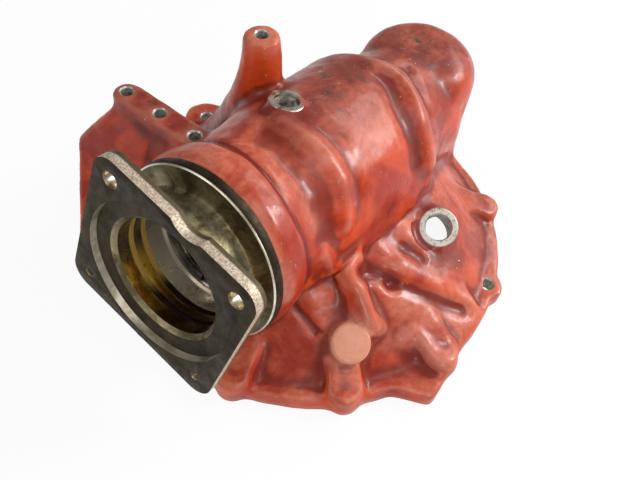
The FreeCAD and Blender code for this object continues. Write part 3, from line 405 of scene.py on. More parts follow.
class Finish:
    """A material and the nodes that feed its Principled shader."""

    def __init__(self, name, color, metallic=0.0, roughness=0.5, **sockets):
        self.material = bpy.data.materials.new(name)
        self.material.use_nodes = True
        self.nodes = self.material.node_tree.nodes
        self.links = self.material.node_tree.links
        self.shader = self.nodes["Principled BSDF"]
        sockets.update(Base_Color=(*color, 1), Metallic=metallic, Roughness=roughness)
        for socket, value in sockets.items():
            self.shader.inputs[socket.replace("_", " ")].default_value = value
        self.place = self.nodes.new("ShaderNodeTexCoord").outputs["Object"]

    def feed(self, value, socket):
        """Links an output, or sets a plain number or colour."""
        if isinstance(value, (int, float)):
            socket.default_value = value
        elif isinstance(value, tuple):
            socket.default_value = (*value, 1)
        else:
            self.links.new(value, socket)

    def noise(self, scale, detail=4, rough=0.5, place=None, twist=0.0):
        node = self.nodes.new("ShaderNodeTexNoise")
        node.inputs["Scale"].default_value = scale
        node.inputs["Detail"].default_value = detail
        node.inputs["Roughness"].default_value = rough
        node.inputs["Distortion"].default_value = twist
        self.links.new(place or self.place, node.inputs["Vector"])
        return node.outputs["Fac"]

    def mask(self, value, low, high, to_low=0.0, to_high=1.0):
        node = self.nodes.new("ShaderNodeMapRange")
        node.interpolation_type = "SMOOTHSTEP"
        for socket, number in zip(("From Min", "From Max", "To Min", "To Max"),
                                  (low, high, to_low, to_high)):
            node.inputs[socket].default_value = number
        self.feed(value, node.inputs["Value"])
        return node.outputs["Result"]

    def reckon(self, operation, first, second=0.0):
        node = self.nodes.new("ShaderNodeMath")
        node.operation = operation
        self.feed(first, node.inputs[0])
        self.feed(second, node.inputs[1])
        return node.outputs[0]

    def times(self, first, second):
        return self.reckon("MULTIPLY", first, second)

    def larger(self, first, second):
        return self.reckon("MAXIMUM", first, second)

    def mix(self, share, first, second):
        node = self.nodes.new("ShaderNodeMix")
        node.data_type = "RGBA"
        self.feed(share, node.inputs[0])
        self.feed(first, node.inputs[6])
        self.feed(second, node.inputs[7])
        return node.outputs[2]

    def attribute(self, name):
        node = self.nodes.new("ShaderNodeAttribute")
        node.attribute_name = name
        return node.outputs["Fac"]

    def upward(self):
        """How far the surface faces up, from -1 to 1."""
        geometry = self.nodes.new("ShaderNodeNewGeometry")
        parts = self.nodes.new("ShaderNodeSeparateXYZ")
        self.links.new(geometry.outputs["Normal"], parts.inputs[0])
        return parts.outputs["Z"]

    def color(self, value):
        self.feed(value, self.shader.inputs["Base Color"])

    def two_tones(self, noise, low, high, clean, stained):
        """Colour that goes from clean to stained as a noise goes from low to high."""
        self.color(self.mix(self.mask(noise, low, high), clean, stained))

    def roughness(self, value):
        self.feed(value, self.shader.inputs["Roughness"])

    def bump(self, height, strength, distance):
        node = self.nodes.new("ShaderNodeBump")
        node.inputs["Strength"].default_value = strength
        node.inputs["Distance"].default_value = distance
        self.feed(height, node.inputs["Height"])
        earlier = self.shader.inputs["Normal"].links
        if earlier:
            self.links.new(earlier[0].from_socket, node.inputs["Normal"])
        self.links.new(node.outputs["Normal"], self.shader.inputs["Normal"])

    def shaft_rings(self):
        """Coordinates that only change along the shaft and away from it: they draw lathe rings."""
        mapping = self.nodes.new("ShaderNodeMapping")
        mapping.vector_type = "TEXTURE"
        mapping.inputs["Location"].default_value = (0, 0, CROSSING_HEIGHT * MM)
        mapping.inputs["Rotation"].default_value = (0, LEAN, 0)
        self.links.new(self.place, mapping.inputs["Vector"])
        parts = self.nodes.new("ShaderNodeSeparateXYZ")
        self.links.new(mapping.outputs[0], parts.inputs[0])
        squares = [self.reckon("POWER", parts.outputs[axis], 2.0) for axis in "YZ"]
        radius = self.reckon("SQRT", self.reckon("ADD", *squares))
        rings = self.nodes.new("ShaderNodeCombineXYZ")
        self.links.new(parts.outputs["X"], rings.inputs["X"])
        self.links.new(radius, rings.inputs["Y"])
        return rings.outputs[0], parts

    def bore_height(self, parts):
        """Height across the bore, tilted to the side where the oil runs together."""
        return self.reckon("ADD", parts.outputs["Z"], self.times(parts.outputs["Y"], OIL_TILT))


OIL_TILT = 0.35
print("node helpers ready")

# %% [markdown]
# ## Red oxide paint
# The paint is an old glossy red oxide. Faces that look up turn salmon: partly dust, partly a painted
# sheen of the bright room above them. Steep faces keep the deeper orange red, and the paint turns
# brown maroon where grease has soaked in. Small chips show grey iron. Three values per point are
# painted on the casting further down, and this finish reads them: grime (soaked grease, and painted
# shade in the pits, the gutter, the valley, the channel by the dome and the crease at the collar),
# dust (pale film of dust, and painted highlights on the streak, the collar's front band and the
# flange rim; above 1 on the cast pad, whose painted highlight is paler still) and relief (painted
# shade: deeper red in hollows; paler on ridges).
# %% Paint finish
DEEP_RED, ORANGE_RED = (0.34, 0.018, 0.003), (0.64, 0.064, 0.008)
SALMON, DUST_SHEEN_RED = (0.64, 0.22, 0.14), (0.47, 0.115, 0.070)
MAROON, GREASE_AND_SHADE = (0.15, 0.030, 0.022), (0.075, 0.050, 0.048)
CHIP_GREY, SPECK = (0.26, 0.19, 0.15), (0.66, 0.52, 0.40)
HOLLOW_SHADE_RED, RIDGE_PINK, PAD_HIGHLIGHT_PINK = (0.17, 0.010, 0.003), (0.74, 0.30, 0.20), (0.80, 0.36, 0.22)
MATT = 0.66

paint = Finish("red_oxide_paint", (0.50, 0.05, 0.018), roughness=0.36, Specular_IOR_Level=0.32,
               Coat_Weight=0.12, Coat_Roughness=0.12)
patches = paint.noise(26, 6, 0.62, twist=0.6)
speckle = paint.noise(210, 3, 0.6)
fine = paint.noise(900, 2, 0.5)
grime_and_shade, dust_and_sheen, relief = (paint.attribute(name) for name in ("grime_and_shade", "dust_and_sheen", "relief"))

tone = paint.mix(paint.mask(patches, 0.36, 0.66), DEEP_RED, ORANGE_RED)
dust_sheen_tone = paint.mix(paint.mask(speckle, 0.3, 0.7), SALMON, DUST_SHEEN_RED)
# Faces that look up turn salmon: partly dust, partly a painted sheen of the bright room above.
sky_dust_and_sheen = paint.times(paint.mask(paint.upward(), 0.45, 0.95),
                       paint.mask(patches, 0.34, 0.64, 0.15, 0.75))
# Strokes of dust and of painted highlight turn the paint salmon.
laid_dust_and_sheen = paint.times(dust_and_sheen, paint.mask(speckle, 0.2, 0.6, 0.7, 1.0))
tone = paint.mix(paint.larger(sky_dust_and_sheen, laid_dust_and_sheen), tone, dust_sheen_tone)
# Maroon and dark brown where the grime value is high: soaked grease, and painted shade in the
# hollows and the crease.
soaked_and_shaded = paint.times(grime_and_shade, paint.mask(paint.noise(62, 5, 0.7), 0.36, 0.62, 0.45, 1.0))
tone = paint.mix(soaked_and_shaded, tone, MAROON)
smudge_and_shade = paint.times(grime_and_shade, paint.mask(paint.noise(75, 4, 0.65), 0.57, 0.66))
tone = paint.mix(smudge_and_shade, tone, GREASE_AND_SHADE)
chips = paint.mask(paint.noise(150, 3, 0.75, twist=0.4), 0.69, 0.705)
tone = paint.mix(chips, tone, CHIP_GREY)
specks = paint.mask(paint.noise(330, 2, 0.6), 0.725, 0.75)
tone = paint.mix(paint.times(specks, paint.mask(grime_and_shade, 0.0, 0.5, 0.25, 1.0)), tone, SPECK)
# Painted shade: hollows, where the relief value is above 0, turn a deeper red; ridges turn paler
# pink.
tone = paint.mix(paint.mask(relief, -0.05, 0.5, 0.0, 0.8), tone, HOLLOW_SHADE_RED)
tone = paint.mix(paint.mask(relief, -1.3, -0.5, 0.22, 0.0), tone, RIDGE_PINK)
# Painted highlight: the cast pad, where the stroke value is above 1, turns a paler pink.
tone = paint.mix(paint.mask(dust_and_sheen, 1.1, 1.6, 0.0, 0.6), tone, PAD_HIGHLIGHT_PINK)
paint.color(tone)

matt = paint.larger(paint.times(grime_and_shade, MATT), paint.times(sky_dust_and_sheen, MATT))
glossy = paint.mask(paint.noise(60, 4, 0.6), 0.3, 0.7, 0.26, 0.48)
paint.roughness(paint.larger(glossy, matt))
for lumps, strength, depth in ((patches, 0.40, 1.4), (paint.noise(75, 3, 0.55), 0.35, 0.6),
                               (speckle, 0.30, 0.25), (fine, 0.25, 0.08)):
    paint.bump(lumps, strength, depth * MM)
print("paint nodes:", len(paint.nodes))

# %% [markdown]
# ## Bare iron
# Machined iron is grey with faint tool marks and a rusty bloom. The inside of the casting is bare
# iron under a film of oil. The walls of tapped holes are pale, because a tap leaves them clean. The
# faced end of the level boss is speckled with rust.
# %% Finishes of the casting
machined = Finish("machined_iron", (0.52, 0.49, 0.43), metallic=0.85, roughness=0.36)
machined.two_tones(machined.noise(120, 4, 0.6), 0.5, 0.64, (0.55, 0.52, 0.46),
                   (0.26, 0.15, 0.065))
machined.roughness(machined.mask(machined.noise(260, 2, 0.5), 0.3, 0.7, 0.28, 0.5))
machined.bump(machined.noise(1400, 2, 0.5), 0.2, 0.00006)

inside = Finish("oily_iron", (0.09, 0.075, 0.065), metallic=0.35, roughness=0.45)
oil_film = inside.noise(30, 5, 0.6)
inside.two_tones(oil_film, 0.4, 0.65, (0.10, 0.085, 0.075), (0.055, 0.035, 0.022))
inside.roughness(inside.mask(oil_film, 0.35, 0.65, 0.55, 0.28))
inside.bump(inside.noise(420, 3, 0.6), 0.4, 0.0004)

tapped = Finish("pale_tapped_iron", (0.55, 0.53, 0.50), metallic=0.45, roughness=0.42)
tapped.two_tones(tapped.noise(320, 3, 0.6), 0.42, 0.62, (0.58, 0.56, 0.53), (0.30, 0.26, 0.22))
tapped.bump(tapped.noise(1500, 2, 0.5), 0.3, 0.0001)

stained = Finish("stained_ring", (0.62, 0.56, 0.46), metallic=0.45, roughness=0.4)
rust = stained.noise(420, 4, 0.7)
stained.two_tones(rust, 0.52, 0.64, (0.60, 0.57, 0.50), (0.30, 0.18, 0.08))
stained.bump(rust, 0.4, 0.0003)

CASTING_FINISHES = [finish.material for finish in (paint, machined, inside, tapped, stained)]
PAINTED, MACHINED, INSIDE, TAPPED, STAINED = range(5)
print("casting finishes:", len(CASTING_FINISHES))

# %% [markdown]
# ## Steel of the trunnion
# The sleeve has been turned, so its tool marks are rings about the shaft, and oil has coloured the
# neck olive and brown. The flange face is dark. Its sawn edge is pale and rough, dark at the rear.
# In the bore old oil is dark at the very bottom, amber above it with a painted golden reflection,
# and grey at the top. The seal grooves are black. The drilled holes are bright, and the
# counterbore's wall and a ring on the shoulder are paler still, a painted highlight.
# %% Finishes of the sleeve
turned = Finish("turned_steel", (0.20, 0.165, 0.09), metallic=0.9, roughness=0.42)
rings, _ = turned.shaft_rings()
marks = turned.noise(1500, 2, 0.6, rings)
broad = turned.noise(140, 3, 0.5, rings)
blotch = turned.noise(44, 6, 0.72, twist=0.5)
steel = turned.mix(turned.mask(blotch, 0.38, 0.62), (0.42, 0.36, 0.21), (0.085, 0.062, 0.024))
turned.color(turned.mix(turned.mask(broad, 0.4, 0.6, 0, 0.5), steel, (0.15, 0.125, 0.075)))
turned.roughness(turned.mask(turned.noise(70, 4, 0.6), 0.3, 0.7, 0.30, 0.54))
turned.bump(marks, 0.35, 0.00008)

flange = Finish("plate_face_steel", (0.06, 0.048, 0.028), metallic=0.75, roughness=0.5)
flange_rings, _ = flange.shaft_rings()
flange.two_tones(flange.noise(45, 5, 0.65), 0.4, 0.64, (0.050, 0.037, 0.017),
                 (0.022, 0.014, 0.005))
flange.roughness(flange.mask(flange.noise(160, 3, 0.6), 0.3, 0.7, 0.42, 0.62))
flange.bump(flange.noise(1100, 2, 0.6, flange_rings), 0.3, 0.0001)

REAR_START, REAR_FULL = 5.4, 6.6
sawn = Finish("rough_plate_edge", (0.50, 0.42, 0.32), metallic=0.5, roughness=0.5)
grit = sawn.noise(800, 4, 0.7)
_, edge_parts = sawn.shaft_rings()
rear = sawn.mask(edge_parts.outputs["X"], (REAR_START - PLATE_REACH) * MM,
                 (REAR_FULL - PLATE_REACH) * MM)
rough_edge = sawn.mix(sawn.mask(grit, 0.38, 0.6), (0.38, 0.29, 0.19), (0.74, 0.63, 0.50))
sawn.color(sawn.mix(rear, rough_edge, (0.10, 0.075, 0.035)))
sawn.roughness(sawn.mask(grit, 0.35, 0.65, 0.62, 0.38))
sawn.bump(grit, 0.8, 0.0004)

# %% Oil in the bore
CLEAN_START, CLEAN_FULL = 30, 32
oiled = Finish("oiled_bore", (0.30, 0.21, 0.08), metallic=0.85, roughness=0.22)
oiled_rings, oiled_parts = oiled.shaft_rings()
oil_height = oiled.bore_height(oiled_parts)
pool = oiled.mask(oiled.noise(38, 4, 0.6, twist=0.8), 0.42, 0.60)
# Amber oil, made bright gold as a painted reflection.
amber_and_glint = oiled.mix(pool, (0.95, 0.62, 0.09), (0.42, 0.17, 0.02))
thin_oil = oiled.mix(oiled.mask(oil_height, -0.016, 0.008), amber_and_glint, (0.24, 0.19, 0.10))
all_oil = oiled.mix(oiled.mask(oil_height, -0.039, -0.030, 1.0, 0.0), thin_oil,
                    (0.07, 0.035, 0.010))
clean = oiled.mask(oiled_parts.outputs["X"], (CLEAN_START - PLATE_REACH) * MM,
                   (CLEAN_FULL - PLATE_REACH) * MM)
oiled.color(oiled.mix(clean, all_oil, (0.62, 0.57, 0.47)))
oiled.roughness(oiled.mask(pool, 0, 1, 0.30, 0.14))
oiled.bump(oiled.noise(1300, 2, 0.5, oiled_rings), 0.3, 0.00006)

black_oil = Finish("old_black_oil", (0.012, 0.008, 0.006), roughness=0.12, Coat_Weight=0.6)
_, groove_parts = black_oil.shaft_rings()
black_oil.two_tones(black_oil.bore_height(groove_parts), -0.034, -0.020, (0.010, 0.006, 0.005),
                    (0.52, 0.34, 0.09))

# %% Drilled holes and bright rings
drilled = Finish("drilled_steel", (0.62, 0.56, 0.44), metallic=0.9, roughness=0.3)
drilled.two_tones(drilled.noise(180, 3, 0.5), 0.42, 0.62, (0.68, 0.62, 0.50), (0.36, 0.25, 0.12))
drilled.bump(drilled.noise(1200, 2, 0.5), 0.3, 0.00008)

# Paler than steel: a painted highlight on the counterbore's wall and the shoulder's ring.
bright = Finish("turned_ring_painted_glint", (0.80, 0.75, 0.62), metallic=0.9, roughness=0.36)
bright_rings, _ = bright.shaft_rings()
bright.two_tones(bright.noise(55, 4, 0.6), 0.42, 0.62, (0.88, 0.83, 0.70), (0.55, 0.47, 0.32))
bright.bump(bright.noise(1200, 2, 0.5, bright_rings), 0.3, 0.00008)

SLEEVE_FINISHES = [finish.material for finish in
                   (turned, flange, sawn, oiled, black_oil, drilled, bright)]
TURNED, PLATE_FACE, SAWN, OILED, BLACK_OIL, DRILLED, BRIGHT = range(7)
print("steel finishes:", len(SLEEVE_FINISHES))

# %% [markdown]
# ## Machining the casting
# Only now is the skin machined, so that bored edges stay crisp against the soft iron. The joint
# face is cut flat, then the chamber, the shaft room and every drilled hole are taken out. Each
# tool carries the number of the finish that it leaves on the wall. The two bosses and the round
# cast pad are turned blanks that are joined on, because the fillets had softened their edges. A
# shallow recess sets the level boss off from the casting round it.
# %% Flat joint face
BASE_CUT = 4.5
edit(casting)
bpy.ops.mesh.bisect(plane_co=(0, 0, BASE_CUT * MM), plane_no=(0, 0, 1), clear_inner=True)
bpy.ops.mesh.extrude_region_move(TRANSFORM_OT_translate={"value": (0, 0, -BASE_CUT * MM)})
bpy.ops.mesh.edge_face_add()
bpy.ops.mesh.select_all(action="SELECT")
bpy.ops.mesh.normals_make_consistent(inside=False)
leave_edit()
print("lowest point of the casting:", round(min(v.co.z for v in casting.data.vertices) / MM, 3))

# %% Tools that carry a finish


def give_finishes(piece, finishes, number=0):
    """Gives a piece its list of finishes, and every face the one with this number."""
    piece.data.materials.clear()
    for finish in finishes:
        piece.data.materials.append(finish)
    piece.data.polygons.foreach_set("material_index", [number] * len(piece.data.polygons))


def bore(tool, number):
    """Cuts the casting with a tool, whose finish stays on the wall."""
    give_finishes(tool, CASTING_FINISHES, number)
    combine(casting, tool, "DIFFERENCE")


give_finishes(casting, CASTING_FINISHES, PAINTED)
for face in casting.data.polygons:
    if face.normal.z < -0.9 and face.center.z < 0.01 * MM:
        face.material_index = MACHINED

# %% Level boss and filler boss with faced tops
UPWARD = Vector((0, 0, 1))
bore(lathe("level_recess", [(15.2, -0.9), (17.6, -0.4), (20.5, 3), (22, 12)], LEVEL_MATRIX, 64),
     PAINTED)
for name, outline, matrix, finish in (
        ("level_boss", [(14.6, -14), (14.6, -0.6), (13.9, 0)], LEVEL_MATRIX, STAINED),
        ("filler_boss", [(12.4, 48), (12.4, FILLER_TOP - 0.6), (11.8, FILLER_TOP)],
         FILLER_MATRIX, MACHINED)):
    boss = lathe(name, outline, matrix, 64)
    give_finishes(boss, CASTING_FINISHES, PAINTED)
    line = matrix.to_3x3() @ UPWARD
    for face in boss.data.polygons:
        if face.normal.dot(line) > 0.5:
            face.material_index = finish
    combine(casting, boss, "UNION")
PAD_MATRIX = (standing(-81.8, -95.8, 38.2) @ Matrix.Rotation(math.radians(229.5), 4, "Z")
              @ Matrix.Rotation(math.radians(30), 4, "Y"))
pad = lathe("cast_pad", [(14.6, -12), (14.4, -1.2), (13.9, -0.4), (13.0, 0.2), (11.5, 0.5)],
            PAD_MATRIX, 64)
give_finishes(pad, CASTING_FINISHES, PAINTED)
combine(casting, pad, "UNION")
print("bosses faced")

# %% Bore the chamber and the shaft room
bore(lathe("chamber", [
    (CHAMBER_RADIUS, -5), (CHAMBER_RADIUS, 4), (127.3, 8), (124.8, 12), (106, 30), (103.4, 33),
    (89.6, 50), (87.6, 52.6), (84, 54), (47, 54), (44.8, 53), (44, 51), (44, 18.5)], steps=160),
     INSIDE)
bore(lathe("hub_seat", [
    (34, 17), (34, 36.7), (30, 36.7), (30, 38.5), (24, 38.5), (24, 43)], steps=96), MACHINED)
bore(rod("hub_clip_groove", 35.4, 20.1, 21.7), MACHINED)
bore(lathe("shaft_room", [
    (SPIGOT_RADIUS, 36), (SPIGOT_RADIUS, SPIGOT_END), (32, SPIGOT_END), (32, 94), (30.5, 98),
    (24, 110.5), (24, 210.5), (28, 215), (33, 221), (33, 288.5), (36, 288.5), (36, 309.5),
    (32, 309.5), (32, 325.5), (20, 341.5)], along_shaft(0)), INSIDE)
print("chamber and shaft room bored:", triangles(casting), "triangles")

# %% Drill the level hole, the filler hole and the small holes
bore(lathe("level_drill", [
    (12, -52), (12, -12), (LEVEL_RADIUS, -12), (LEVEL_RADIUS, -0.8), (LEVEL_RADIUS + 0.9, 0.1),
    (LEVEL_RADIUS + 0.9, 1)], LEVEL_MATRIX, 64), MACHINED)
bore(rod("filler_drill", FILLER_RADIUS, 0, FILLER_TOP + 1, FILLER_MATRIX, 64), MACHINED)
bore(join("small_drills", small_holes(0, 1)), TAPPED)
bore(join("countersink_tools", countersinks()), TAPPED)
smooth_under(casting, 38)
print("machined casting:", triangles(casting), "triangles")

# %% [markdown]
# ## Where the grease, the dust, the painted shade and the painted highlights lie
# Oil seeped from the shaft seal and the plug for years, and it soaked into the crest and the dome.
# The same grime strokes darken the pits, the gutter, the valley, the channel beside the dome and the
# crease at the collar: painted shade. Dry dust lies on the near side of the bell and on the cast
# pad, with a painted sheen, and the pale strokes on the pad, the streak, the collar's front band and
# the flange rim are painted highlights. Each spot is a stroke with a width and a strength, and the
# strongest one counts at a point. The relief value compares the skin with a smoothed copy of
# itself, so hollows get painted shade and ridges turn paler.
# %% Strokes of grime and dust
GRIME_AND_SHADE = [
    ([(-20, 4, 147), (30, 6, 140), (80, 10, 122)], 52, 0.8),
    ([(128, 0, 112), (140, 0, 90), (150, 0, 50)], 75, 0.95),
    ([(-65, 122, 118), (-65, 58, 118)], 30, 0.5),
    ([(-10, 60, 60), (0, 110, 50), (60, 90, 50)], 55, 0.6),
    # Painted shade: the pit, gutter and valley rows, and the channel row beside the dome, darken
    # hollows.
    (PIT, 10, 1.0),
    (GUTTER, 7, 0.8),
    (VALLEY, 9, 0.9),
    ([(35, -82, 62), (48, -88, 55), (52, -98, 45)], 12, 1.0),
    ([(57, -12, 131), (43, -33, 128), (40, -52, 112), (37, -64, 92)], 12, 0.8),
    ([(60, -120, 18), (90, -110, 16), (118, -71, 18)], 26, 0.6),
    ([(2, -100, 50), (16, -108, 44), (32, -118, 37)], 15, 0.85),
    ([(50, -88, 60), (62, -84, 58)], 20, 0.6),
    ([(-76, 100, 106), (-76, 76, 105)], 15, 1.0),
    ([(84, -48, 90), (88, -56, 66), (60, -64, 80)], 26, 0.5),
]
DUST_AND_SHEEN = [
    # The two rows on the bell are dust with a painted sheen; the pad row is a painted highlight.
    ([(-37, -106, 42), (-15, -125, 30), (10, -140, 18)], 24, 0.85),
    ([(-62, -108, 36), (-45, -122, 26), (-40, -150, 16)], 22, 0.8),
    ([(-81.8, -95.8, 38)], 30, 2.6),
    ([(-70, -5, 149), (-68, -30, 140), (-70, -48, 122)], 17, 0.7),
    ([(-25, -62, 64), (-18, -72, 61)], 12, 0.6),
    ([(-79, -53, 55), (-75, -67, 51), (-70, -83, 45)], 11, 0.7),
    # Painted highlights: the streak, the collar's front band and the flange rim rows below.
    (STREAK[1:6], 6, 0.9),
    ([(-106, -26, 155), (-107, -35, 150), (-111, -45, 140), (-113, -54, 129), (-114, -62, 113),
      (-113, -63.5, 98)], 9, 0.8),
    ([(-100, -100, 14), (-125, -85, 13)], 12, 0.4),
]
print("strokes:", len(GRIME_AND_SHADE), "of grime,", len(DUST_AND_SHEEN), "of dust")

# %% Grime, dust and relief as values of the points


def strokes_on(piece, strokes):
    """The strongest stroke at every point of a piece."""
    spots, _ = spots_and_normals(piece)
    amount = np.zeros(len(spots))
    for path, width, strength in strokes:
        amount = np.maximum(amount, brush(distance_to_path(spots, path), width) * strength)
    return amount


def relief_of(piece, passes=14):
    """How much deeper each point lies than the smoothed skin round it, in millimetres."""
    spots, normals = spots_and_normals(piece)
    ends = np.empty(len(piece.data.edges) * 2, dtype=np.int64)
    piece.data.edges.foreach_get("vertices", ends)
    first, second = ends.reshape(-1, 2).T
    neighbours = np.bincount(ends, minlength=len(spots))
    smooth = spots.copy()
    for _ in range(passes):
        for axis in range(3):
            total = (np.bincount(first, smooth[second, axis], len(spots))
                     + np.bincount(second, smooth[first, axis], len(spots)))
            smooth[:, axis] = total / neighbours
    return ((smooth - spots) * normals).sum(axis=1)


def paint_attribute(piece, name, amount):
    layer = piece.data.attributes.new(name, "FLOAT", "POINT")
    layer.data.foreach_set("value", amount)


# Painted shade: a thin band along the crease where the collar meets the tunnel is darkened like
# grime.
SEAM_WIDTH, SEAM_SHADE, DARKENED = 1.6, 0.9, 0.2
seam = brush(crease_distance(spots_and_normals(casting)[0]), SEAM_WIDTH) * SEAM_SHADE
grime_and_shade_amount = np.maximum(strokes_on(casting, GRIME_AND_SHADE), seam)
relief_amount = relief_of(casting)
paint_attribute(casting, "grime_and_shade", grime_and_shade_amount)
paint_attribute(casting, "dust_and_sheen", strokes_on(casting, DUST_AND_SHEEN))
paint_attribute(casting, "relief", relief_amount)
print("relief from", relief_amount.min().round(2), "to", relief_amount.max().round(2))
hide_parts("drive_case")
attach(casting, "housing")
print("grimy share of the points:", round(float((grime_and_shade_amount > DARKENED).mean()), 2))

# %% [markdown]
# ## The trunnion sleeve
# On the real drive this is a steel sleeve with a square flange, turned, bored and pressed into the
# red collar. It could be one long boolean of primitives. Here it is built as a turner would make
# it: a square plate with rounded corners, a turned neck and shoulder, one boring tool with its two
# seal grooves, and then a small bevel on every edge that the light can catch.
# %% Square plate
PLATE_HALF, PLATE_THICK, PLATE_CORNER, PLATE_TURN = 61.5, 9, 13.5, 12.7
bpy.ops.object.select_all(action="DESELECT")
bpy.ops.mesh.primitive_cube_add(size=1, location=(0, 0, PLATE_THICK / 2 * MM),
                                scale=(2 * PLATE_HALF * MM, 2 * PLATE_HALF * MM,
                                       PLATE_THICK * MM))
sleeve = bpy.context.object
sleeve.name = sleeve.data.name = "machined_trunnion"
apply_place(sleeve, sleeve.matrix_world.copy())
edit(sleeve, "EDGE")
bpy.ops.mesh.select_all(action="DESELECT")
leave_edit()
for side in sleeve.data.edges:
    ends = [sleeve.data.vertices[index].co for index in side.vertices]
    side.select = abs(ends[0].z - ends[1].z) > PLATE_THICK / 2 * MM
bpy.ops.object.mode_set(mode="EDIT")
bpy.ops.mesh.bevel(offset=PLATE_CORNER * MM, segments=10, affect="EDGES")
leave_edit()
NOTCH_RADIUS, NOTCH_DEPTH, NOTCH_SIDE = 15.7, 4.5, -6
notch = rod("notch", NOTCH_RADIUS, -1, PLATE_THICK + 1,
            standing(NOTCH_SIDE, PLATE_HALF + NOTCH_RADIUS - NOTCH_DEPTH, 0), 64)
combine(sleeve, notch, "DIFFERENCE")
print("plate corners rounded:", len(sleeve.data.vertices), "points")

# %% Turned neck, shoulder and spigot
NECK_RADIUS, SHOULDER_RADIUS, SHOULDER_START = 47.5, 62, 35.2
turning = lathe("sleeve_turning", [
    (NECK_RADIUS, 4), (NECK_RADIUS, 31.5), (NECK_RADIUS + 0.8, 33), (NECK_RADIUS + 2.5, 34),
    (SHOULDER_RADIUS - 2.4, SHOULDER_START), (SHOULDER_RADIUS - 1.6, SHOULDER_START),
    (SHOULDER_RADIUS - 0.6, 36), (SHOULDER_RADIUS, 37.4), (SHOULDER_RADIUS, SHOULDER_END),
    (SPIGOT_RADIUS, SHOULDER_END), (SPIGOT_RADIUS, SPIGOT_END)], steps=160)
combine(sleeve, turning, "UNION")
print("neck and shoulder turned:", triangles(sleeve), "triangles")

# %% Boring tool with the counterbore and two seal grooves
COUNTERBORE_RADIUS, COUNTERBORE_DEPTH = 55, 5
BORE_RADIUS, BORE_START, GROOVE_RADIUS, SEAT_RADIUS, STOP_RADIUS = 40, 8, 42.5, 36, 32
SEAL_GROOVES = ((17, 21), (27, 31))
outline = [(COUNTERBORE_RADIUS, -1), (COUNTERBORE_RADIUS, COUNTERBORE_DEPTH),
           (43.2, COUNTERBORE_DEPTH), (43, 5.2), (BORE_RADIUS, BORE_START)]
for low, high in SEAL_GROOVES:
    outline += [(BORE_RADIUS, low), (GROOVE_RADIUS, low), (GROOVE_RADIUS, high),
                (BORE_RADIUS, high)]
outline += [(BORE_RADIUS, 44), (SEAT_RADIUS, 44), (SEAT_RADIUS, 46.4), (37.4, 46.4), (37.4, 48),
            (SEAT_RADIUS, 48), (SEAT_RADIUS, 65), (STOP_RADIUS, 65), (STOP_RADIUS, SPIGOT_END + 1)]
combine(sleeve, lathe("sleeve_boring", outline, steps=160), "DIFFERENCE")
print("sleeve bored:", triangles(sleeve), "triangles")

# %% Holes of the plate and small bevels
HOLE_ACROSS, HOLE_UP, LARGE_HOLE, SMALL_HOLE = 48, 47.5, 5.5, 3.3
plate_holes = []
for across, up, radius in ((1, 1, LARGE_HOLE), (-1, 1, LARGE_HOLE), (-1, -1, SMALL_HOLE),
                           (1, -1, SMALL_HOLE)):
    plate_holes.append(((across * HOLE_ACROSS, up * HOLE_UP), radius))
drills = [rod("plate_drill", radius, -1, PLATE_THICK + 1, standing(x, y, 0), 40)
          for (x, y), radius in plate_holes]
combine(sleeve, join("plate_drills", drills), "DIFFERENCE")
apply_modifier(sleeve, "BEVEL", width=0.45 * MM, segments=2, limit_method="ANGLE",
               angle_limit=math.radians(38), use_clamp_overlap=True)
print("sleeve:", triangles(sleeve), "triangles")

# %% [markdown]
# The finish of each face follows from its place: the sawn outside of the plate is pale and rough,
# its front is a dull face cut, the neck is turned, the bore is oiled, and old black oil sits in the
# two grooves. The counterbore's wall and a thin ring on the shoulder get a pale bright steel, a
# painted highlight. The sleeve still stands upright at the origin, so height is the distance behind
# the plate's front.
# %% Finish every face of the sleeve by its place
RING_START, RING_END = 35.25, 35.8


def sleeve_finish(middle, normal):
    """Number of the finish of a face, from its middle in millimetres and its normal."""
    radius, height = math.hypot(middle.x, middle.y), middle.z
    from_hole = min(math.hypot(middle.x - x, middle.y - y) - hole for (x, y), hole in plate_holes)
    if from_hole < 0.25 and height < PLATE_THICK + 0.5:
        return DRILLED
    if radius < GROOVE_RADIUS + 0.2 and height > BORE_START - 0.1:
        in_groove = any(low <= height <= high for low, high in SEAL_GROOVES)
        return BLACK_OIL if in_groove and radius > BORE_RADIUS + 0.2 else OILED
    # Painted highlight: the counterbore's wall and a thin ring on the shoulder get the pale bright
    # finish.
    if (0.2 < height < COUNTERBORE_DEPTH + 0.1
            and COUNTERBORE_RADIUS - 0.2 < radius < COUNTERBORE_RADIUS + 0.6):
        return BRIGHT
    if radius > SHOULDER_RADIUS - 2 and height > RING_START:
        return BRIGHT if height < RING_END else PLATE_FACE
    if (height < COUNTERBORE_DEPTH + 0.6 and radius < SHOULDER_RADIUS and abs(normal.z) > 0.5
            or height < 0.4):
        return PLATE_FACE
    if height < PLATE_THICK + 0.1 and radius > 57 and abs(normal.z) < 0.9:
        return SAWN
    if height < PLATE_THICK + 0.1 and radius < 56 and abs(normal.z) < 0.5:
        return PLATE_FACE
    return TURNED


give_finishes(sleeve, SLEEVE_FINISHES, TURNED)
for face in sleeve.data.polygons:
    face.material_index = sleeve_finish(face.center / MM, face.normal)
apply_place(sleeve, along_shaft(0) @ Matrix.Rotation(math.radians(PLATE_TURN + 90), 4, "Z"))
smooth_under(sleeve, 30)
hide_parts("trunnion_sleeve")
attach(sleeve, "housing")
print("sleeve placed, farthest end at x =", round(min(v.co.x for v in sleeve.data.vertices), 4))

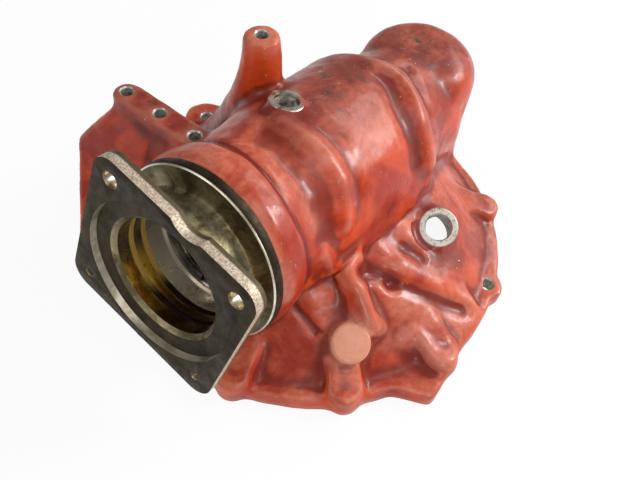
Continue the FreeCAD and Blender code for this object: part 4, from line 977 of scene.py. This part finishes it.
# %% [markdown]
# ## The filler plug
# A round steel plug with a hexagon socket closes the filler hole on the crest of the tunnel. The
# socket is cut into a turned blank, and the rim gets the small chamfer that a thread needs.
# %% Socket plug
PLUG_TOP, PLUG_LENGTH, SOCKET_RADIUS = FILLER_TOP - 2, 12, 10 / math.sqrt(3)
plug = lathe("socket_plug", [
    (8.0, PLUG_TOP - PLUG_LENGTH), (8.7, PLUG_TOP - PLUG_LENGTH + 0.8), (8.7, PLUG_TOP - 0.9),
    (7.9, PLUG_TOP)], steps=64)
hexagon = rod("plug_socket", SOCKET_RADIUS, PLUG_TOP - 7, PLUG_TOP + 1, steps=6)
combine(plug, hexagon, "DIFFERENCE")
apply_modifier(plug, "BEVEL", width=0.3 * MM, segments=2, limit_method="ANGLE",
               angle_limit=math.radians(40))
apply_place(plug, FILLER_MATRIX)
smooth_under(plug, 30)
plug_steel = Finish("plug_steel", (0.46, 0.44, 0.40), metallic=0.9, roughness=0.3)
plug_steel.two_tones(plug_steel.noise(160, 4, 0.6), 0.46, 0.62, (0.50, 0.48, 0.44),
                     (0.22, 0.17, 0.13))
plug_steel.bump(plug_steel.noise(800, 2, 0.5), 0.25, 0.0001)
give_finishes(plug, [plug_steel.material])
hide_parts("filler_plug")
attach(plug, "housing")
print("plug:", triangles(plug), "triangles")

# %% [markdown]
# ## Finishes of the gears, bearings and rings inside
# These pieces have their true shape in the CAD model, so they keep it and only get a finish each:
# ground and oily gear steel, bright bearing steel, brass for the cages, black spring steel for the
# circlips and a yellowish plating on the bolts.
# %% Finish the inner pieces
INNER_LOOKS = {
    "gear_steel": (0.95, 0.3, (60, 4, 0.6), (0.42, 0.66),
                   (0.40, 0.39, 0.37), (0.44, 0.43, 0.41), (0.22, 0.18, 0.13)),
    "bearing_steel": (1.0, 0.16, (80, 3, 0.5), (0.5, 0.7),
                      (0.62, 0.62, 0.62), (0.64, 0.64, 0.63), (0.42, 0.38, 0.30)),
    "cage_brass": (1.0, 0.3, (110, 3, 0.5), (0.4, 0.65),
                   (0.60, 0.42, 0.17), (0.64, 0.46, 0.20), (0.36, 0.22, 0.07)),
    "spring_steel": (0.8, 0.38, (200, 3, 0.5), (0.45, 0.6),
                     (0.055, 0.05, 0.048), (0.06, 0.055, 0.052), (0.11, 0.09, 0.07)),
    "plated_bolt": (0.95, 0.35, (140, 3, 0.5), (0.42, 0.62),
                    (0.42, 0.38, 0.28), (0.46, 0.42, 0.31), (0.24, 0.20, 0.14)),
}
inner_finishes = {"turned_steel": turned}
for name, (metallic, roughness, grain, levels, middle_tone, clean_tone, dull_tone) in (
        INNER_LOOKS.items()):
    finish = Finish(name, middle_tone, metallic=metallic, roughness=roughness)
    finish.two_tones(finish.noise(*grain), *levels, clean_tone, dull_tone)
    inner_finishes[name] = finish
gear_steel = inner_finishes["gear_steel"]
gear_steel.bump(gear_steel.noise(900, 2, 0.5), 0.2, 0.00006)

SHOWN_ELSEWHERE = ("drive_case", "trunnion_sleeve", "filler_plug")
for subpart in frame["record"]["subparts"]:
    if subpart["node"] not in SHOWN_ELSEWHERE:
        inner = nodes[subpart["node"]]
        inner.data.materials.clear()
        inner.data.materials.append(inner_finishes[subpart["material_slot"]].material)
print("inner pieces finished:", len(nodes) - len(SHOWN_ELSEWHERE))

# %% [markdown]
# ## Floor, light and camera
# The photograph was taken on a white table, looking down at 53 degrees from the trunnion's side.
# The table and the room look white in the picture, but they light the part far less, so the paint
# keeps its colour. A long window lamp and a small key lamp on the right draw the shine along the
# collar and the tunnel, a lamp from above lights the crest, and two lamps on the left fill.
# %% Floor
WHITE_TABLE, SEEN_WHITE, WHITE_IN_GLOSS = (0.93, 0.93, 0.93), 0.92, 0.35
bpy.ops.object.select_all(action="DESELECT")
bpy.ops.mesh.primitive_circle_add(vertices=64, radius=4, fill_type="NGON",
                                  location=(0, 0, -0.4 * MM))
floor = bpy.context.object
floor.name = floor.data.name = "floor"
paper = Finish("white_table", WHITE_TABLE, roughness=0.9, Specular_IOR_Level=0.1)
rays = paper.nodes.new("ShaderNodeLightPath").outputs
seen = paper.larger(paper.larger(rays["Is Camera Ray"], rays["Is Transmission Ray"]),
                    paper.times(rays["Is Glossy Ray"], WHITE_IN_GLOSS))
white = paper.nodes.new("ShaderNodeEmission")
table = paper.nodes.new("ShaderNodeMixShader")
paper.feed(paper.times(seen, SEEN_WHITE), table.inputs[0])
paper.links.new(paper.shader.outputs[0], table.inputs[1])
paper.links.new(white.outputs[0], table.inputs[2])
paper.links.new(table.outputs[0], paper.nodes["Material Output"].inputs["Surface"])
floor.data.materials.append(paper.material)
print("floor:", floor.name)

# %% Lamps and room
TARGET = Vector((0.0, 0.0, 0.07))
ROOM_LIGHT = 0.24


def soft_lamp(name, direction, distance, size, power, height=0.0, roll=0.0):
    """A round lamp, or with a height a long one that is rolled round its own line of sight."""
    lamp = bpy.data.lights.new(name, "AREA")
    lamp.shape, lamp.size, lamp.energy = "DISK", size, power
    if height:
        lamp.shape, lamp.size_y = "RECTANGLE", height
    holder = bpy.data.objects.new(name, lamp)
    bpy.context.scene.collection.objects.link(holder)
    direction = Vector(direction).normalized()
    holder.location = TARGET + direction * distance
    facing = (-direction).to_track_quat("-Z", "Y").to_matrix()
    turned_round = facing @ Matrix.Rotation(math.radians(roll), 3, "Z")
    holder.rotation_euler = turned_round.to_euler()


soft_lamp("window", (0.80, -0.30, 0.47), 1.5, 1.5, 10, height=0.3, roll=25)
soft_lamp("key", (0.60, -0.60, 0.53), 1.5, 0.35, 11)
soft_lamp("top", (-0.12, -0.48, 0.87), 1.6, 0.9, 5.5)
soft_lamp("near_fill", (-0.50, -0.70, 0.50), 1.5, 0.35, 3)
soft_lamp("left_fill", (-0.75, 0.35, 0.55), 1.8, 1.2, 7)
world = bpy.data.worlds.new("pale_room")
bpy.context.scene.world = world
world.use_nodes = True
sky = world.node_tree
room = sky.nodes["Background"]
room.inputs["Color"].default_value = (0.97, 0.98, 1.0, 1)
room_ray = sky.nodes.new("ShaderNodeLightPath")
brightness = sky.nodes.new("ShaderNodeMapRange")
brightness.inputs["To Min"].default_value = ROOM_LIGHT
sky.links.new(room_ray.outputs["Is Camera Ray"], brightness.inputs["Value"])
sky.links.new(brightness.outputs["Result"], room.inputs["Strength"])
print("lamps:", len(bpy.data.lights))

# %% Camera
camera_data = bpy.data.cameras.new("photo_camera")
camera_data.lens, camera_data.sensor_width = 38.81, 36
camera = bpy.data.objects.new("photo_camera", camera_data)
bpy.context.scene.collection.objects.link(camera)
CAMERA_PLACE = Vector((-0.2951, -0.1852, 0.4500))
LOOK = Vector((0.520, 0.306, -0.797)).normalized()
RIGHT = Vector((0.605, -0.791, 0.091))
RIGHT = (RIGHT - LOOK * RIGHT.dot(LOOK)).normalized()
UP = RIGHT.cross(LOOK)
turn = Matrix((RIGHT, UP, -LOOK)).transposed().to_4x4()
camera.matrix_world = Matrix.Translation(CAMERA_PLACE) @ turn
bpy.context.scene.camera = camera
bpy.context.scene.view_settings.view_transform = "Standard"
print("camera looks down", round(math.degrees(math.asin(-LOOK.z)), 1), "degrees")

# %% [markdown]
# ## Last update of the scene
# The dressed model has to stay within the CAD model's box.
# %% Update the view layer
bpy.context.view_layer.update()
